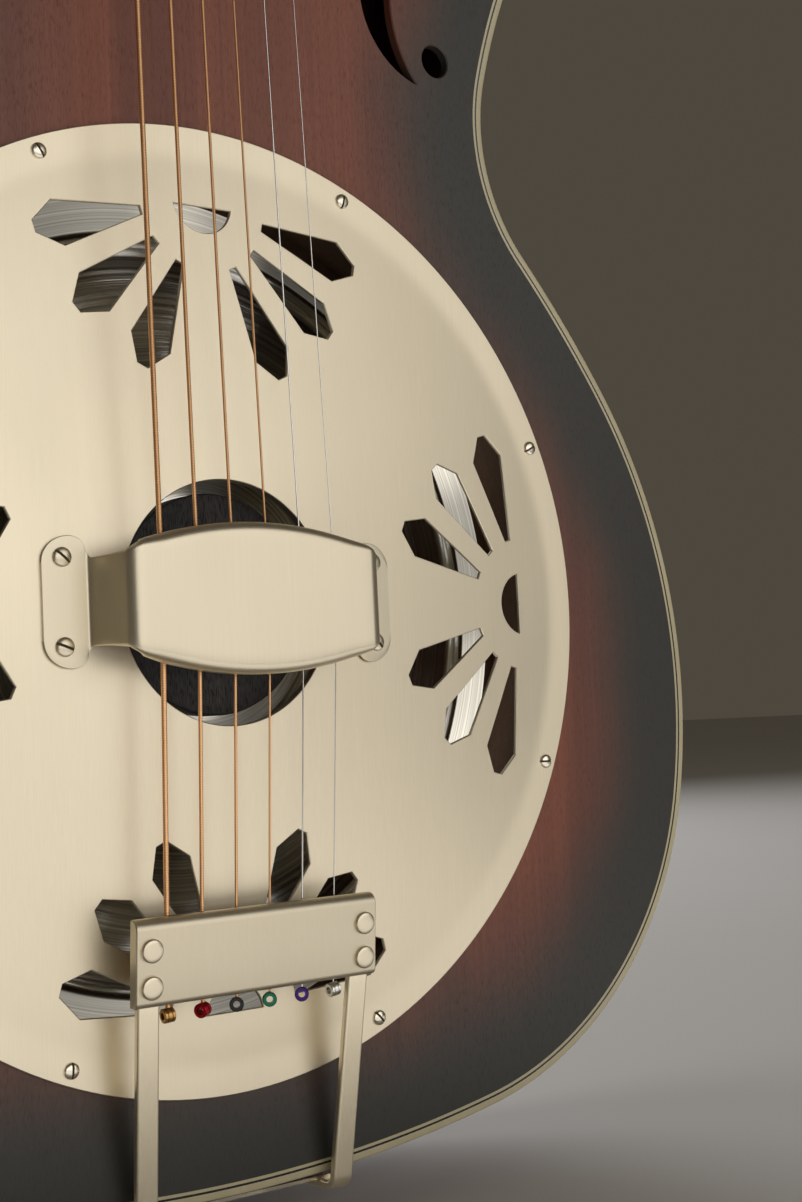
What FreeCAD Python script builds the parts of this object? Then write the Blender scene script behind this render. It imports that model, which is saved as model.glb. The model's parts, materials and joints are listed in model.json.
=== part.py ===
import FreeCAD, Part
import math
import os
from FreeCAD import Placement, Rotation, Vector

# Resonator guitar, round neck, single cone under a perforated metal cover.
# It is modelled lying on its back: X across (treble side +), Y along the strings
# towards the head, Z out of the top. The origin is the cone's centre on the face
# of the wooden top. to_row() stands it up before each part is written.

# ---- body -------------------------------------------------------------------
TAIL_Y = -156.4          # end of the body on the centre line
JOIN_Y = 317.5           # neck meets body: half the string length
BODY_DEPTH = 86.0
PLATE_T = 3.0            # thickness of top and back
SIDE_T = 3.0
BINDING_W = 2.2
BINDING_H = 5.0
LINING_W = 6.0
LINING_H = 12.0
# Half outline from the tail round to the neck: (radius, turn in degrees) of
# arcs that run on smoothly; a negative radius is the waist's hollow curve.
OUTLINE = ((469.0, 11.1), (109.6, 67.6), (171.8, 45.1), (372.5, 8.0),
           (-57.5, 56.6), (-200.0, 10.2), (86.0, 115.0))

# ---- sound holes ------------------------------------------------------------
SLOT_CENTRE = (64.0, 206.0)
SLOT_TIP = (79.3, 156.9)
SLOT_INNER = ((66.0, 165.0), (59.5, 181.0))
SLOT_OUTER = ((72.8, 168.0), (70.5, 181.0))
SLOT_DOT = (86.9, 165.3)
SLOT_DOT_R = 4.9

# ---- cone, well and cover -----------------------------------------------------
WELL_R = 122.0
WELL_OUTER_R = 132.0
WELL_DEPTH = 34.0
LEDGE_R = 111.0
LEDGE_Z = -26.0
CONE_R = 118.0
CONE_T = 0.8
CONE_TOP_Z = -6.5
CONE_TOP_R = 31.0
BISCUIT_R = 30.0
BISCUIT_T = 6.5
COVER_R = 130.0
COVER_T = 1.0
COVER_CREASE_R = 121.5
COVER_HOLE_R = 32.8
COVER_HOLE_Z = 7.2
COVER_SCREW_CIRCLE_R = 126.1
FAN_CENTRE_R = 110.0
PETAL_STEP = 25.0
PETAL_NEAR = (20.0, 1.2)     # distance from the fan's centre, half width
PETAL_WIDE = (45.5, 6.1)
PETAL_TIP = (52.5, 1.6)
HALF_DISC_FLAT = 108.2
HALF_DISC_CHORD = 18.2
HALF_DISC_DEPTH = 7.4

# ---- palm rest ----------------------------------------------------------------
REST_TOP_Z = 24.0
REST_T = 1.5
REST_HALF_L = 38.5
REST_END_W = 13.0            # half widths
REST_MID_W = 19.9
REST_FOOT_OUT = 54.4
REST_FOOT_IN = 41.5
REST_FOOT_W = 16.8
REST_FOOT_Z = 6.9
REST_WALL = 4.4
REST_SCREW = (48.9, 11.3)

# ---- strings --------------------------------------------------------------------
STRING_LENGTH = 635.0
STRING_D = (1.42, 1.07, 0.81, 0.61, 0.41, 0.30)
SADDLE_SPREAD = 54.3
NUT_SPREAD = 38.0
ANCHOR_SPREAD = 51.6
SADDLE_Z = 18.4
NUT_Z = 1.0

# ---- tailpiece --------------------------------------------------------------------
TAIL_HALF_W = 37.2
TAIL_FRONT = (-79.7, 17.0)   # y, z of the plate's front edge
TAIL_REAR = (-101.8, 15.2)
TAIL_T = 1.6
TAIL_LIP = 3.6
STRAP_W = 6.3
STRAP_T = 2.4
ANCHOR = (-104.6, 11.0)
BRACKET_Z = (-28.0, -2.0)

# ---- neck -------------------------------------------------------------------------
NECK_TILT = 1.263
BOARD_T = 6.0
BOARD_END_Y = 209.0
BOARD_JOIN_Z = 6.0
BOARD_NUT_W = 44.5
BOARD_JOIN_W = 56.0
BOARD_RADIUS = 305.0
FRETS = 19
FRET_W = 2.4
FRET_H = 1.1
NUT_T = 5.0
NECK_NUT_DEPTH = 15.0
NECK_JOIN_DEPTH = 17.0
HEEL_SCRIBE = 9.0            # spare length at the heel, cut back to the curve of the sides
HEAD_TILT = 13.0
HEAD_T = 14.0
HEAD_L = 158.0
VENEER_T = 1.8

# ---- tuning machines -----------------------------------------------------------------
POST_X = 24.0
POST_Y = (38.0, 76.0, 114.0)
POST_R = 3.0
POST_TOP = 11.5
GEAR_TEETH = 16
GEAR_PITCH_R = 5.6
GEAR_W = 4.0
WORM_PITCH_R = 2.1
TOOTH_OUT = 0.55
TOOTH_IN = 0.75
KEY_R = 1.6
RUNNING_GAP = 0.1
MACHINE_PLATE_T = 1.2
BUTTON_X = 49.5
BUTTON_HALF = (7.0, 8.5, 3.2)

BUTTON_END_Y = -170.0        # end of the strap button, the lowest point when stood up
ROW_SHIFT = Vector(0, -(BODY_DEPTH - REST_TOP_Z) / 2, -BUTTON_END_Y)
HALF = math.pi / 2


# ---- helpers ---------------------------------------------------------------------------
def to_row(shape):
    stood_up = shape.copy()
    turn = Placement(Vector(0, 0, 0), Rotation(Vector(1, 0, 0), 90))
    stood_up.Placement = Placement(ROW_SHIFT, Rotation()).multiply(turn).multiply(stood_up.Placement)
    return stood_up


def save(name, *shapes):
    solids = [solid for shape in shapes for solid in shape.Solids]
    bad = [solid for solid in solids if not solid.isValid() or solid.Volume <= 0]
    whole = solids[0] if len(solids) == 1 else Part.makeCompound(solids)
    to_row(whole).exportStep("parts/" + name + ".step")
    print(name, len(solids), "solids", round(whole.Volume / 1000, 2), "cm3", "BAD" if bad else "")


def box(x0, x1, y0, y1, z0, z1):
    return Part.makeBox(x1 - x0, y1 - y0, z1 - z0, Vector(x0, y0, z0))


def rod(start, end, radius):
    a, b = Vector(*start), Vector(*end)
    return Part.makeCylinder(radius, (b - a).Length, a, b - a)


def polygon(points):
    corners = [Vector(*p) for p in points]
    return Part.makePolygon(corners + [corners[0]])


def prism(wire, z0, z1):
    face = Part.Face(wire)
    face.translate(Vector(0, 0, z0))
    return face.extrude(Vector(0, 0, z1 - z0))


def lathe(profile, axis=Vector(0, 0, 1)):
    # profile: (radius, height) points about the Z axis
    face = Part.Face(polygon([(r, 0, z) for r, z in profile]))
    return face.revolve(Vector(0, 0, 0), axis, 360)


def fuse_all(shapes):
    return shapes[0].multiFuse(shapes[1:]).removeSplitter()


def mirrored(shape):
    return shape.mirror(Vector(0, 0, 0), Vector(1, 0, 0))


def turned(shape, degrees):
    copy = shape.copy()
    copy.rotate(Vector(0, 0, 0), Vector(0, 0, 1), degrees)
    return copy


# ---- body ----------------------------------------------------------------------------------
def half_outline(inset):
    x, y, heading = 0.0, TAIL_Y + inset, 0.0
    edges = []
    for radius, turn in OUTLINE:
        r = radius - inset
        sweep = math.radians(turn) * (1 if radius > 0 else -1)
        cx, cy = x - r * math.sin(heading), y + r * math.cos(heading)
        points = [Vector(cx + r * math.sin(heading + sweep * part), cy - r * math.cos(heading + sweep * part), 0)
                  for part in (0, 0.5, 1)]
        edges.append(Part.Arc(*points).toShape())
        x, y, heading = points[2].x, points[2].y, heading + sweep
    return edges, x, y


def body_wire(inset):
    right, x, y = half_outline(inset)
    left = [mirrored(edge) for edge in right]
    top = Part.LineSegment(Vector(x, y, 0), Vector(-x, y, 0)).toShape()
    return Part.Wire(Part.__sortEdges__(right + [top] + left))


def body_plate(inset, z0, z1):
    return prism(body_wire(inset), z0, z1)


def body_ring(outer, inner, z0, z1):
    return body_plate(outer, z0, z1).cut(body_plate(inner, z0, z1))


def sound_slot():
    tip = Vector(*SLOT_TIP, 0)
    inner = [Vector(*p, 0) for p in SLOT_INNER]
    outer = [Vector(*p, 0) for p in SLOT_OUTER]
    centre = Vector(*SLOT_CENTRE, 0)

    def opposite(p):
        return centre * 2 - p

    edges = [Part.Arc(tip, inner[0], inner[1]).toShape(),
             Part.LineSegment(inner[1], opposite(outer[1])).toShape(),
             Part.Arc(opposite(outer[1]), opposite(outer[0]), opposite(tip)).toShape(),
             Part.Arc(opposite(tip), opposite(inner[0]), opposite(inner[1])).toShape(),
             Part.LineSegment(opposite(inner[1]), outer[1]).toShape(),
             Part.Arc(outer[1], outer[0], tip).toShape()]
    stem = prism(Part.Wire(edges), -PLATE_T - 1, 1)
    dot = Vector(*SLOT_DOT, 0)
    dots = [Part.makeCylinder(SLOT_DOT_R, PLATE_T + 2, p + Vector(0, 0, -PLATE_T - 1))
            for p in (dot, opposite(dot))]
    return [stem] + dots


def cover_screw_spots():
    angles = [math.radians(22.5 + 45 * k) for k in range(8)]
    return [(COVER_SCREW_CIRCLE_R * math.cos(a), COVER_SCREW_CIRCLE_R * math.sin(a)) for a in angles]


NECK_BLOCK = (-38.0, 38.0, JOIN_Y - SIDE_T - 50, JOIN_Y - SIDE_T, -BODY_DEPTH + PLATE_T, -PLATE_T)
TENON = (-9.0, 9.0, JOIN_Y - 17, JOIN_Y + 1, -68.0, -6.0)
BRACKET_SCREWS = ((-22.0, -10.0), (22.0, -10.0), (0.0, -21.0))      # x, z on the tail
tail_holes = [rod((x, TAIL_Y - 20, z), (x, TAIL_Y + 16, z), 1.3) for x, z in BRACKET_SCREWS]
tail_holes.append(rod((0, TAIL_Y - 1, -BODY_DEPTH / 2), (0, TAIL_Y + 22, -BODY_DEPTH / 2), 1.9))
screw_holes = [rod((x, y, -14), (x, y, 3), 1.1) for x, y in cover_screw_spots()]


def build_body():
    slots = sound_slot()
    slots += [mirrored(slot) for slot in slots]
    well_hole = Part.makeCylinder(WELL_R, PLATE_T + 2, Vector(0, 0, -PLATE_T - 1))
    top = body_plate(BINDING_W, -PLATE_T, 0).cut([well_hole] + slots + screw_holes)
    save("body_top", top)
    back_low, back_high = -BODY_DEPTH, -BODY_DEPTH + PLATE_T
    save("body_back", body_plate(BINDING_W, back_low, back_high))
    save("top_binding", body_ring(0, BINDING_W, -BINDING_H, 0))
    save("back_binding", body_ring(0, BINDING_W, back_low, back_low + BINDING_H))

    sides = body_ring(0, SIDE_T, back_low + BINDING_H, -BINDING_H)
    rebate = body_ring(BINDING_W, SIDE_T, back_high, -PLATE_T)
    sides = sides.fuse(rebate).removeSplitter().cut([box(*TENON)] + tail_holes)
    save("side_treble", sides.common(box(0, 300, -300, 400, -200, 10)))
    save("side_bass", sides.common(box(-300, 0, -300, 400, -200, 10)))

    neck_block = box(*NECK_BLOCK)
    tail_box = box(-34, 34, TAIL_Y, TAIL_Y + SIDE_T + 20, back_high, -PLATE_T)
    tail_block = tail_box.common(body_plate(SIDE_T, back_high, -PLATE_T))
    linings = [body_ring(SIDE_T, SIDE_T + LINING_W, -PLATE_T - LINING_H, -PLATE_T),
               body_ring(SIDE_T, SIDE_T + LINING_W, back_high, back_high + LINING_H)]
    save("linings", *[lining.cut([neck_block, tail_box, box(*TENON)]) for lining in linings])
    save("neck_block", neck_block.cut(box(*TENON)))
    save("tail_block", tail_block.cut(tail_holes))

    well = lathe([(WELL_R, -PLATE_T), (WELL_OUTER_R, -PLATE_T), (WELL_OUTER_R, -WELL_DEPTH),
                  (LEDGE_R, -WELL_DEPTH), (LEDGE_R, LEDGE_Z), (WELL_R, LEDGE_Z)])
    save("sound_well", well.cut(screw_holes))

    inside = body_plate(SIDE_T + LINING_W + 1, back_high, -PLATE_T)
    back_braces = [box(-200, 200, y - 4, y + 4, back_high, back_high + 12) for y in (-85, 25, 130, 220)]
    top_brace = box(-200, 200, 139, 147, -PLATE_T - 12, -PLATE_T)
    save("braces", *[brace.common(inside) for brace in back_braces + [top_brace]])


# ---- cone, biscuit, saddle, cover ---------------------------------------------------------------
def build_cone():
    top = CONE_TOP_Z
    foot = LEDGE_Z + CONE_T
    outer = [(CONE_R, foot), (108.0, foot), (106.0, foot + 3.0), (103.5, foot + 3.0),
             (101.0, foot + 1.6), (CONE_TOP_R + 2.0, top - 0.6), (CONE_TOP_R, top)]
    under = [(r, z - CONE_T) for r, z in outer]
    profile = [(1.6, top)] + outer[::-1] + under + [(1.6, top - CONE_T)]
    save("resonator_cone", lathe(profile))

    biscuit_top = CONE_TOP_Z + BISCUIT_T
    saddle_slot = box(-28.6, 28.6, -1.5, 1.5, CONE_TOP_Z + 3, biscuit_top + 1)
    biscuit = Part.makeCylinder(BISCUIT_R, BISCUIT_T, Vector(0, 0, CONE_TOP_Z))
    biscuit = biscuit.makeChamfer(0.7, [biscuit.Edges[0]])
    hole = rod((0, 0, CONE_TOP_Z - 1), (0, 0, CONE_TOP_Z + 3), 1.6)
    save("biscuit", biscuit.cut([saddle_slot, hole]))

    saddle = box(-28.6, 28.6, -1.5, 1.5, CONE_TOP_Z + 3, SADDLE_Z + 0.3)
    notches = [cut for k in range(6) for cut in string_notch(k)]
    save("saddle", saddle.cut(notches))

    shank = rod((0, 0, top - CONE_T - 1.4), (0, 0, CONE_TOP_Z + 3), 1.6)
    head = rod((0, 0, top - CONE_T - 2.6), (0, 0, top - CONE_T), 4.0)
    save("biscuit_screw", shank.fuse(head))


def string_x(k, spread):
    return (k - 2.5) * spread / 5


def cover_height(r):
    # the outer face: a shallow cone inside the crease
    slope = (COVER_HOLE_Z - COVER_T) / (COVER_CREASE_R - COVER_HOLE_R)
    return COVER_T + (COVER_CREASE_R - r) * slope


def fan():
    cuts = []
    for k in (-3, -2, -1, 1, 2, 3):
        points = []
        for distance, half in (PETAL_NEAR, PETAL_WIDE, PETAL_TIP):
            points.append((distance, half))
        ring = points + [(d, -h) for d, h in points[::-1]]
        petal = prism(polygon([(d, h, 0) for d, h in ring]), -5, 15)
        petal.rotate(Vector(0, 0, 0), Vector(0, 0, 1), 180 + k * PETAL_STEP)
        petal.translate(Vector(FAN_CENTRE_R, 0, 0))
        cuts.append(petal)
    c = HALF_DISC_CHORD / 2
    bow = Part.Arc(Vector(HALF_DISC_FLAT, -c, 0), Vector(HALF_DISC_FLAT - HALF_DISC_DEPTH, 0, 0),
                   Vector(HALF_DISC_FLAT, c, 0)).toShape()
    flat = Part.LineSegment(Vector(HALF_DISC_FLAT, c, 0), Vector(HALF_DISC_FLAT, -c, 0)).toShape()
    cuts.append(prism(Part.Wire([bow, flat]), -5, 15))
    return cuts


def build_cover():
    lip = COVER_HOLE_R + COVER_T
    outer = [(COVER_R, COVER_T * 0.6), (COVER_R - 0.4, COVER_T), (COVER_CREASE_R, COVER_T),
             (lip, cover_height(lip)), (COVER_HOLE_R, cover_height(lip) - 0.6)]
    inner = [(COVER_HOLE_R, COVER_HOLE_Z - 2.6), (lip, COVER_HOLE_Z - 2.6), (lip, cover_height(lip) - COVER_T),
             (COVER_CREASE_R, 0), (COVER_R, 0)]
    shell = lathe(outer + inner)
    fans = [turned(cut, 90 * quarter) for quarter in range(4) for cut in fan()]
    rest_holes = [rod((sx * REST_SCREW[0], sy * REST_SCREW[1], 0), (sx * REST_SCREW[0], sy * REST_SCREW[1], 12), 1.3)
                  for sx in (-1, 1) for sy in (-1, 1)]
    save("cover_plate", shell.cut(fans + screw_holes + rest_holes))

    screws = []
    for index, (x, y) in enumerate(cover_screw_spots()):
        screw = round_head_screw(1.1, 12.0, 1.8, 1.1, 30 + 47 * index)
        screw.translate(Vector(x, y, COVER_T))
        screws.append(screw)
    save("cover_screws", *screws)


def round_head_screw(shank_r, length, head_r, head_h, slot_turn):
    # a slotted round head, its seat at z = 0 and its shank below
    ball_r = (head_r ** 2 + head_h ** 2) / (2 * head_h)
    dome = Part.makeSphere(ball_r, Vector(0, 0, head_h - ball_r))
    dome = dome.common(box(-head_r - 1, head_r + 1, -head_r - 1, head_r + 1, 0, head_h + 1))
    slot = turned(box(-head_r - 1, head_r + 1, -0.25, 0.25, head_h - 0.65, head_h + 1), slot_turn)
    shank = rod((0, 0, -length), (0, 0, 0.2), shank_r)
    return dome.cut(slot).fuse(shank).removeSplitter()


# ---- palm rest -----------------------------------------------------------------------------------
def rest_outline(shrink):
    x, w, m = REST_HALF_L - shrink, REST_END_W - shrink, REST_MID_W - shrink
    upper = Part.Arc(Vector(-x, w, 0), Vector(0, m, 0), Vector(x, w, 0)).toShape()
    lower = Part.Arc(Vector(x, -w, 0), Vector(0, -m, 0), Vector(-x, -w, 0)).toShape()
    ends = [Part.LineSegment(Vector(s * x, s * w, 0), Vector(s * x, -s * w, 0)).toShape() for s in (1, -1)]
    return Part.Wire(Part.__sortEdges__([upper, lower] + ends))


def build_palm_rest():
    outer = prism(rest_outline(0), REST_TOP_Z - REST_WALL, REST_TOP_Z)
    outer = outer.makeFillet(3.2, [e for e in outer.Edges if e.BoundBox.ZMin > REST_TOP_Z - 0.1])
    inner = prism(rest_outline(REST_T), REST_TOP_Z - REST_WALL - 1.0, REST_TOP_Z - REST_T)
    inner = inner.makeFillet(1.7, [e for e in inner.Edges if e.BoundBox.ZMin > REST_TOP_Z - REST_T - 0.1])
    cap = outer.cut(inner)
    foot_top = REST_FOOT_Z + REST_T
    x0, x1 = REST_HALF_L - REST_T, REST_HALF_L
    knee_in, knee_out = REST_FOOT_IN - 1.7, REST_FOOT_IN
    strip = Part.Face(polygon([(x0, 0, REST_TOP_Z - 3.4), (x1, 0, REST_TOP_Z - 3.4), (knee_out, 0, foot_top),
                               (REST_FOOT_OUT, 0, foot_top), (REST_FOOT_OUT, 0, REST_FOOT_Z),
                               (knee_in, 0, REST_FOOT_Z)]))
    strip.translate(Vector(0, -REST_FOOT_W, 0))
    strip = strip.extrude(Vector(0, 2 * REST_FOOT_W, 0))
    foot_r = 6.0
    foot = box(REST_FOOT_IN - 3, REST_FOOT_OUT, -REST_FOOT_W, REST_FOOT_W, REST_FOOT_Z, foot_top)
    corners = [e for e in foot.Edges if abs(e.BoundBox.ZLength - REST_T) < 0.01
               and abs(e.BoundBox.XMax - REST_FOOT_OUT) < 0.01]
    foot = foot.makeFillet(foot_r, corners)
    inner_corners = [e for e in foot.Edges if abs(e.BoundBox.ZLength - REST_T) < 0.01
                     and abs(e.BoundBox.XMax - REST_FOOT_IN + 3) < 0.01]
    foot = foot.makeFillet(4.0, inner_corners)
    side = prism(polygon([(-12.4, REST_TOP_Z, 0), (-11.4, foot_top + 2.0, 0), (-13.6, foot_top, 0), (-13.6, 0, 0),
                          (13.6, 0, 0), (13.6, foot_top, 0), (11.4, foot_top + 2.0, 0), (12.4, REST_TOP_Z, 0)]), 0, 60)
    side.rotate(Vector(0, 0, 0), Vector(1, 1, 1), 120)
    leg = strip.common(side)
    half = fuse_all([leg, foot])
    whole = fuse_all([cap, half, mirrored(half)])
    spots = [(sx * REST_SCREW[0], sy * REST_SCREW[1]) for sx in (-1, 1) for sy in (-1, 1)]
    holes = [rod((x, y, 0), (x, y, 12), 1.3) for x, y in spots]
    save("palm_rest", whole.cut(holes))
    screws = []
    for index, (x, y) in enumerate(spots):
        screw = round_head_screw(1.3, 5.4, 2.5, 1.0, 60 + 35 * index)
        nut = rod((0, 0, -5.2), (0, 0, -3.7), 2.6)
        screw = screw.fuse(nut)
        screw.translate(Vector(x, y, foot_top))
        screws.append(screw)
    save("palm_rest_screws", *screws)


# ---- tailpiece -----------------------------------------------------------------------------------
def side_strip(points, thickness, x0, x1):
    # a bent strip: its upper surface follows (y, z) points and it is extruded along X
    upper = [Vector(0, y, z) for y, z in points]
    under = []
    for i, p in enumerate(upper):
        before = (p - upper[i - 1]).normalize() if i else None
        after = (upper[i + 1] - p).normalize() if i + 1 < len(upper) else None
        along = (before or after) + (after or before)
        along.normalize()
        half = (before or after).dot(along)
        normal = Vector(0, along.z, -along.y)
        under.append(p + normal * (thickness / half) * -1)
    face = Part.Face(Part.makePolygon(upper + under[::-1] + [upper[0]]))
    face.translate(Vector(x0, 0, 0))
    return face.extrude(Vector(x1 - x0, 0, 0))


def build_tailpiece():
    fy, fz = TAIL_FRONT
    ry, rz = TAIL_REAR
    slope = (fz - rz) / (fy - ry)
    lean = math.degrees(math.atan(slope))

    def plate_z(y):
        return fz + (y - fy) * slope

    plate = Part.Face(polygon([(0, fy, fz), (0, fy, fz - TAIL_LIP), (0, fy - TAIL_T, fz - TAIL_LIP),
                               (0, fy - TAIL_T, plate_z(fy - TAIL_T) - TAIL_T),
                               (0, ry + TAIL_T, plate_z(ry + TAIL_T) - TAIL_T),
                               (0, ry + TAIL_T, rz - TAIL_LIP), (0, ry, rz - TAIL_LIP), (0, ry, rz)]))
    plate.translate(Vector(-TAIL_HALF_W, 0, 0))
    plate = plate.extrude(Vector(2 * TAIL_HALF_W, 0, 0))
    long_edges = [e for e in plate.Edges if e.BoundBox.XLength > TAIL_HALF_W
                  and abs(e.CenterOfMass.y - fy) < 0.01 and abs(e.CenterOfMass.z - fz) < 0.01]
    plate = plate.makeFillet(2.6, long_edges)
    rear_edges = [e for e in plate.Edges if e.BoundBox.XLength > TAIL_HALF_W
                  and abs(e.CenterOfMass.y - ry) < 0.01 and abs(e.CenterOfMass.z - rz) < 0.01]
    plate = plate.makeFillet(1.0, rear_edges)
    slots = []
    for k in range(6):
        path = string_path(k)
        for y in (ry + TAIL_T / 2, fy - TAIL_T / 2):
            part = (y - path[0].y) / (path[1].y - path[0].y)
            here = path[0] + (path[1] - path[0]) * part
            gap = STRING_D[k] / 2 + 0.3
            slots.append(box(here.x - gap, here.x + gap, y - TAIL_T, y + TAIL_T, 0, here.z + gap))
    strap_room = [box(s * 33 - 3.9, s * 33 + 3.9, ry - 1, ry + TAIL_T + 0.01, 0, rz - TAIL_T)
                  for s in (-1, 1)]
    rivet_spots = [Vector(s * 33.0, y, plate_z(y)) for s in (-1, 1) for y in (-87.6, -96.8)]

    def stand_on_plate(shape, spot):
        placed_piece = shape.copy()
        placed_piece.rotate(Vector(0, 0, 0), Vector(1, 0, 0), lean)
        placed_piece.translate(spot)
        return placed_piece

    rivet_holes = [stand_on_plate(rod((0, 0, -9), (0, 0, 3), 1.5), spot) for spot in rivet_spots]
    plate = plate.cut(slots + strap_room + rivet_holes)
    save("tailpiece_plate", plate)

    strap_top = TAIL_T + 0.02
    edge_y = TAIL_Y - 0.3
    bend = 4.5
    path = [(-83.5, plate_z(-83.5) - strap_top), (-101.5, plate_z(-101.5) - strap_top), (edge_y + 1.0, 5.4)]
    for step in range(1, 6):
        a = HALF * step / 6
        path.append((edge_y + 1.0 - bend * math.sin(a), 5.4 - bend * (1 - math.cos(a))))
    path += [(edge_y + 1.0 - bend, 5.4 - bend), (edge_y + 1.0 - bend, BRACKET_Z[0])]
    strap = side_strip(path, STRAP_T, -STRAP_W / 2, STRAP_W / 2)
    straps = []
    for s in (-1, 1):
        piece = strap.copy()
        piece.rotate(Vector(0, -92, 0), Vector(0, 0, 1), -s * 2.2)
        piece.translate(Vector(s * 33.0, 0, 0))
        straps.append(piece.cut([plate] + rivet_holes))
    face_y = edge_y + 1.0 - bend + STRAP_T
    bracket = box(-35.0, 35.0, face_y, face_y + 0.9, BRACKET_Z[0], BRACKET_Z[1])
    corners = [e for e in bracket.Edges if e.BoundBox.YLength > 0.8
               and e.BoundBox.XLength < 0.1 and e.BoundBox.ZLength < 0.1]
    bracket = bracket.makeFillet(3.0, corners)
    head = lathe([(0, 0), (2.9, 0), (2.9, 0.8), (2.3, 1.4), (0, 1.55)])
    stack = TAIL_T + STRAP_T + 0.1
    rivet = fuse_all([head, rod((0, 0, -stack - 0.5), (0, 0, 0.2), 1.5),
                      rod((0, 0, -stack - 0.9), (0, 0, -stack), 2.3)])
    save("tailpiece_rivets", *[stand_on_plate(rivet, spot) for spot in rivet_spots])
    return straps, bracket


def build_tail_fittings():
    straps, bracket = build_tailpiece()
    body = body_plate(0, -BODY_DEPTH, 0)
    straps = [strap.cut(bracket) for strap in straps]
    save("tailpiece_straps", *straps)
    save("tailpiece_bracket", bracket.cut(tail_holes).cut(body))
    screws = []
    front = bracket.BoundBox.YMin
    for index, (x, z) in enumerate(BRACKET_SCREWS):
        screw = round_head_screw(1.3, 16.0, 2.6, 1.4, 40 * index)
        screw.rotate(Vector(0, 0, 0), Vector(1, 0, 0), 90)
        screw.translate(Vector(x, front, z))
        screws.append(screw)
    save("tailpiece_screws", *screws)

    z = -BODY_DEPTH / 2
    seat = TAIL_Y - 0.1
    length = seat - BUTTON_END_Y
    button = lathe([(1.9, 0), (7.5, 0), (7.5, 1.5), (4.2, 3.5), (4.2, length - 5.0), (7.2, length - 3.0),
                    (7.2, length - 1.0), (6.2, length), (1.9, length)])
    screw = lathe([(0, -22), (1.9, -22), (1.9, length), (0, length)])
    for piece in (button, screw):
        piece.rotate(Vector(0, 0, 0), Vector(1, 0, 0), 90)
        piece.translate(Vector(0, seat, z))
    recess = rod((0, BUTTON_END_Y - 1, z), (0, BUTTON_END_Y + 1.2, z), 3.6)
    slot = box(-3, 3, BUTTON_END_Y, BUTTON_END_Y + 2.2, z - 0.5, z + 0.5)
    save("strap_button", button.cut(recess))
    head = rod((0, BUTTON_END_Y + 0.1, z), (0, BUTTON_END_Y + 1.2, z), 3.5)
    trimmed = screw.cut(box(-5, 5, BUTTON_END_Y - 1, BUTTON_END_Y + 0.1, z - 5, z + 5))
    save("strap_button_screw", trimmed.fuse(head).cut(slot))


# ---- neck ----------------------------------------------------------------------------------------
def tilt_neck(shape):
    # from the fingerboard's own frame, its surface at z = 0, to the guitar's frame
    tilted = shape.copy()
    tilted.translate(Vector(0, 0, BOARD_JOIN_Z))
    tilted.rotate(Vector(0, JOIN_Y, BOARD_JOIN_Z), Vector(1, 0, 0), -NECK_TILT)
    return tilted


def board_half_width(y):
    slope = (BOARD_JOIN_W - BOARD_NUT_W) / (STRING_LENGTH - JOIN_Y) / 2
    return BOARD_NUT_W / 2 + (STRING_LENGTH - y) * slope


def fret_y(n):
    return STRING_LENGTH * 2 ** (-n / 12)


def head_frame(shape):
    # from the headstock's own frame: y from the nut, z = 0 on the wood's face
    placed = shape.copy()
    placed.rotate(Vector(0, 0, 0), Vector(1, 0, 0), -HEAD_TILT)
    placed.translate(Vector(0, STRING_LENGTH + NUT_T, -BOARD_T))
    return tilt_neck(placed)


def head_point(x, y, z):
    return head_frame(Part.Vertex(x, y, z)).Point


def neck_section(y, half_width, depth):
    low = -BOARD_T
    left, right = Vector(-half_width, y, low), Vector(half_width, y, low)
    arc = Part.Arc(left, Vector(0, y, low - depth), right).toShape()
    return Part.Wire([arc, Part.LineSegment(right, left).toShape()])


def heel_section(z, length, half_width):
    left, right = Vector(-half_width, JOIN_Y, z), Vector(half_width, JOIN_Y, z)
    back = Vector(0, -HEEL_SCRIBE, 0)
    nose, centre = Vector(0, JOIN_Y + length, z), Vector(0, JOIN_Y, z)
    if length > half_width:
        curve = Part.ArcOfEllipse(Part.Ellipse(nose, right, centre), -HALF, HALF)
    else:
        curve = Part.ArcOfEllipse(Part.Ellipse(right, nose, centre), 0, 2 * HALF)
    straight = [Part.LineSegment(a, b).toShape() for a, b in
                ((left, left + back), (left + back, right + back), (right + back, right))]
    return Part.Wire(Part.__sortEdges__(straight + [curve.toShape()]))


def head_outline():
    side = [Vector(22.0, 0, 0), Vector(26.0, 14, 0), Vector(33.0, 24, 0), Vector(37.5, HEAD_L - 10, 0)]
    edges = [Part.Arc(side[0], side[1], side[2]).toShape(), Part.LineSegment(side[2], side[3]).toShape()]
    left = [mirrored(edge) for edge in edges]
    crown = Part.Arc(side[3], Vector(0, HEAD_L, 0), Vector(-side[3].x, side[3].y, 0)).toShape()
    bottom = Part.LineSegment(Vector(-side[0].x, 0, 0), side[0]).toShape()
    return Part.Wire(Part.__sortEdges__(edges + left + [crown, bottom]))


MACHINE_SCREWS = (-(GEAR_PITCH_R + WORM_PITCH_R) - 5.6, 10.4)      # from the post, along the head
POST_SPOTS = [(-POST_X, y) for y in POST_Y] + [(POST_X, y) for y in POST_Y[::-1]]


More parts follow.
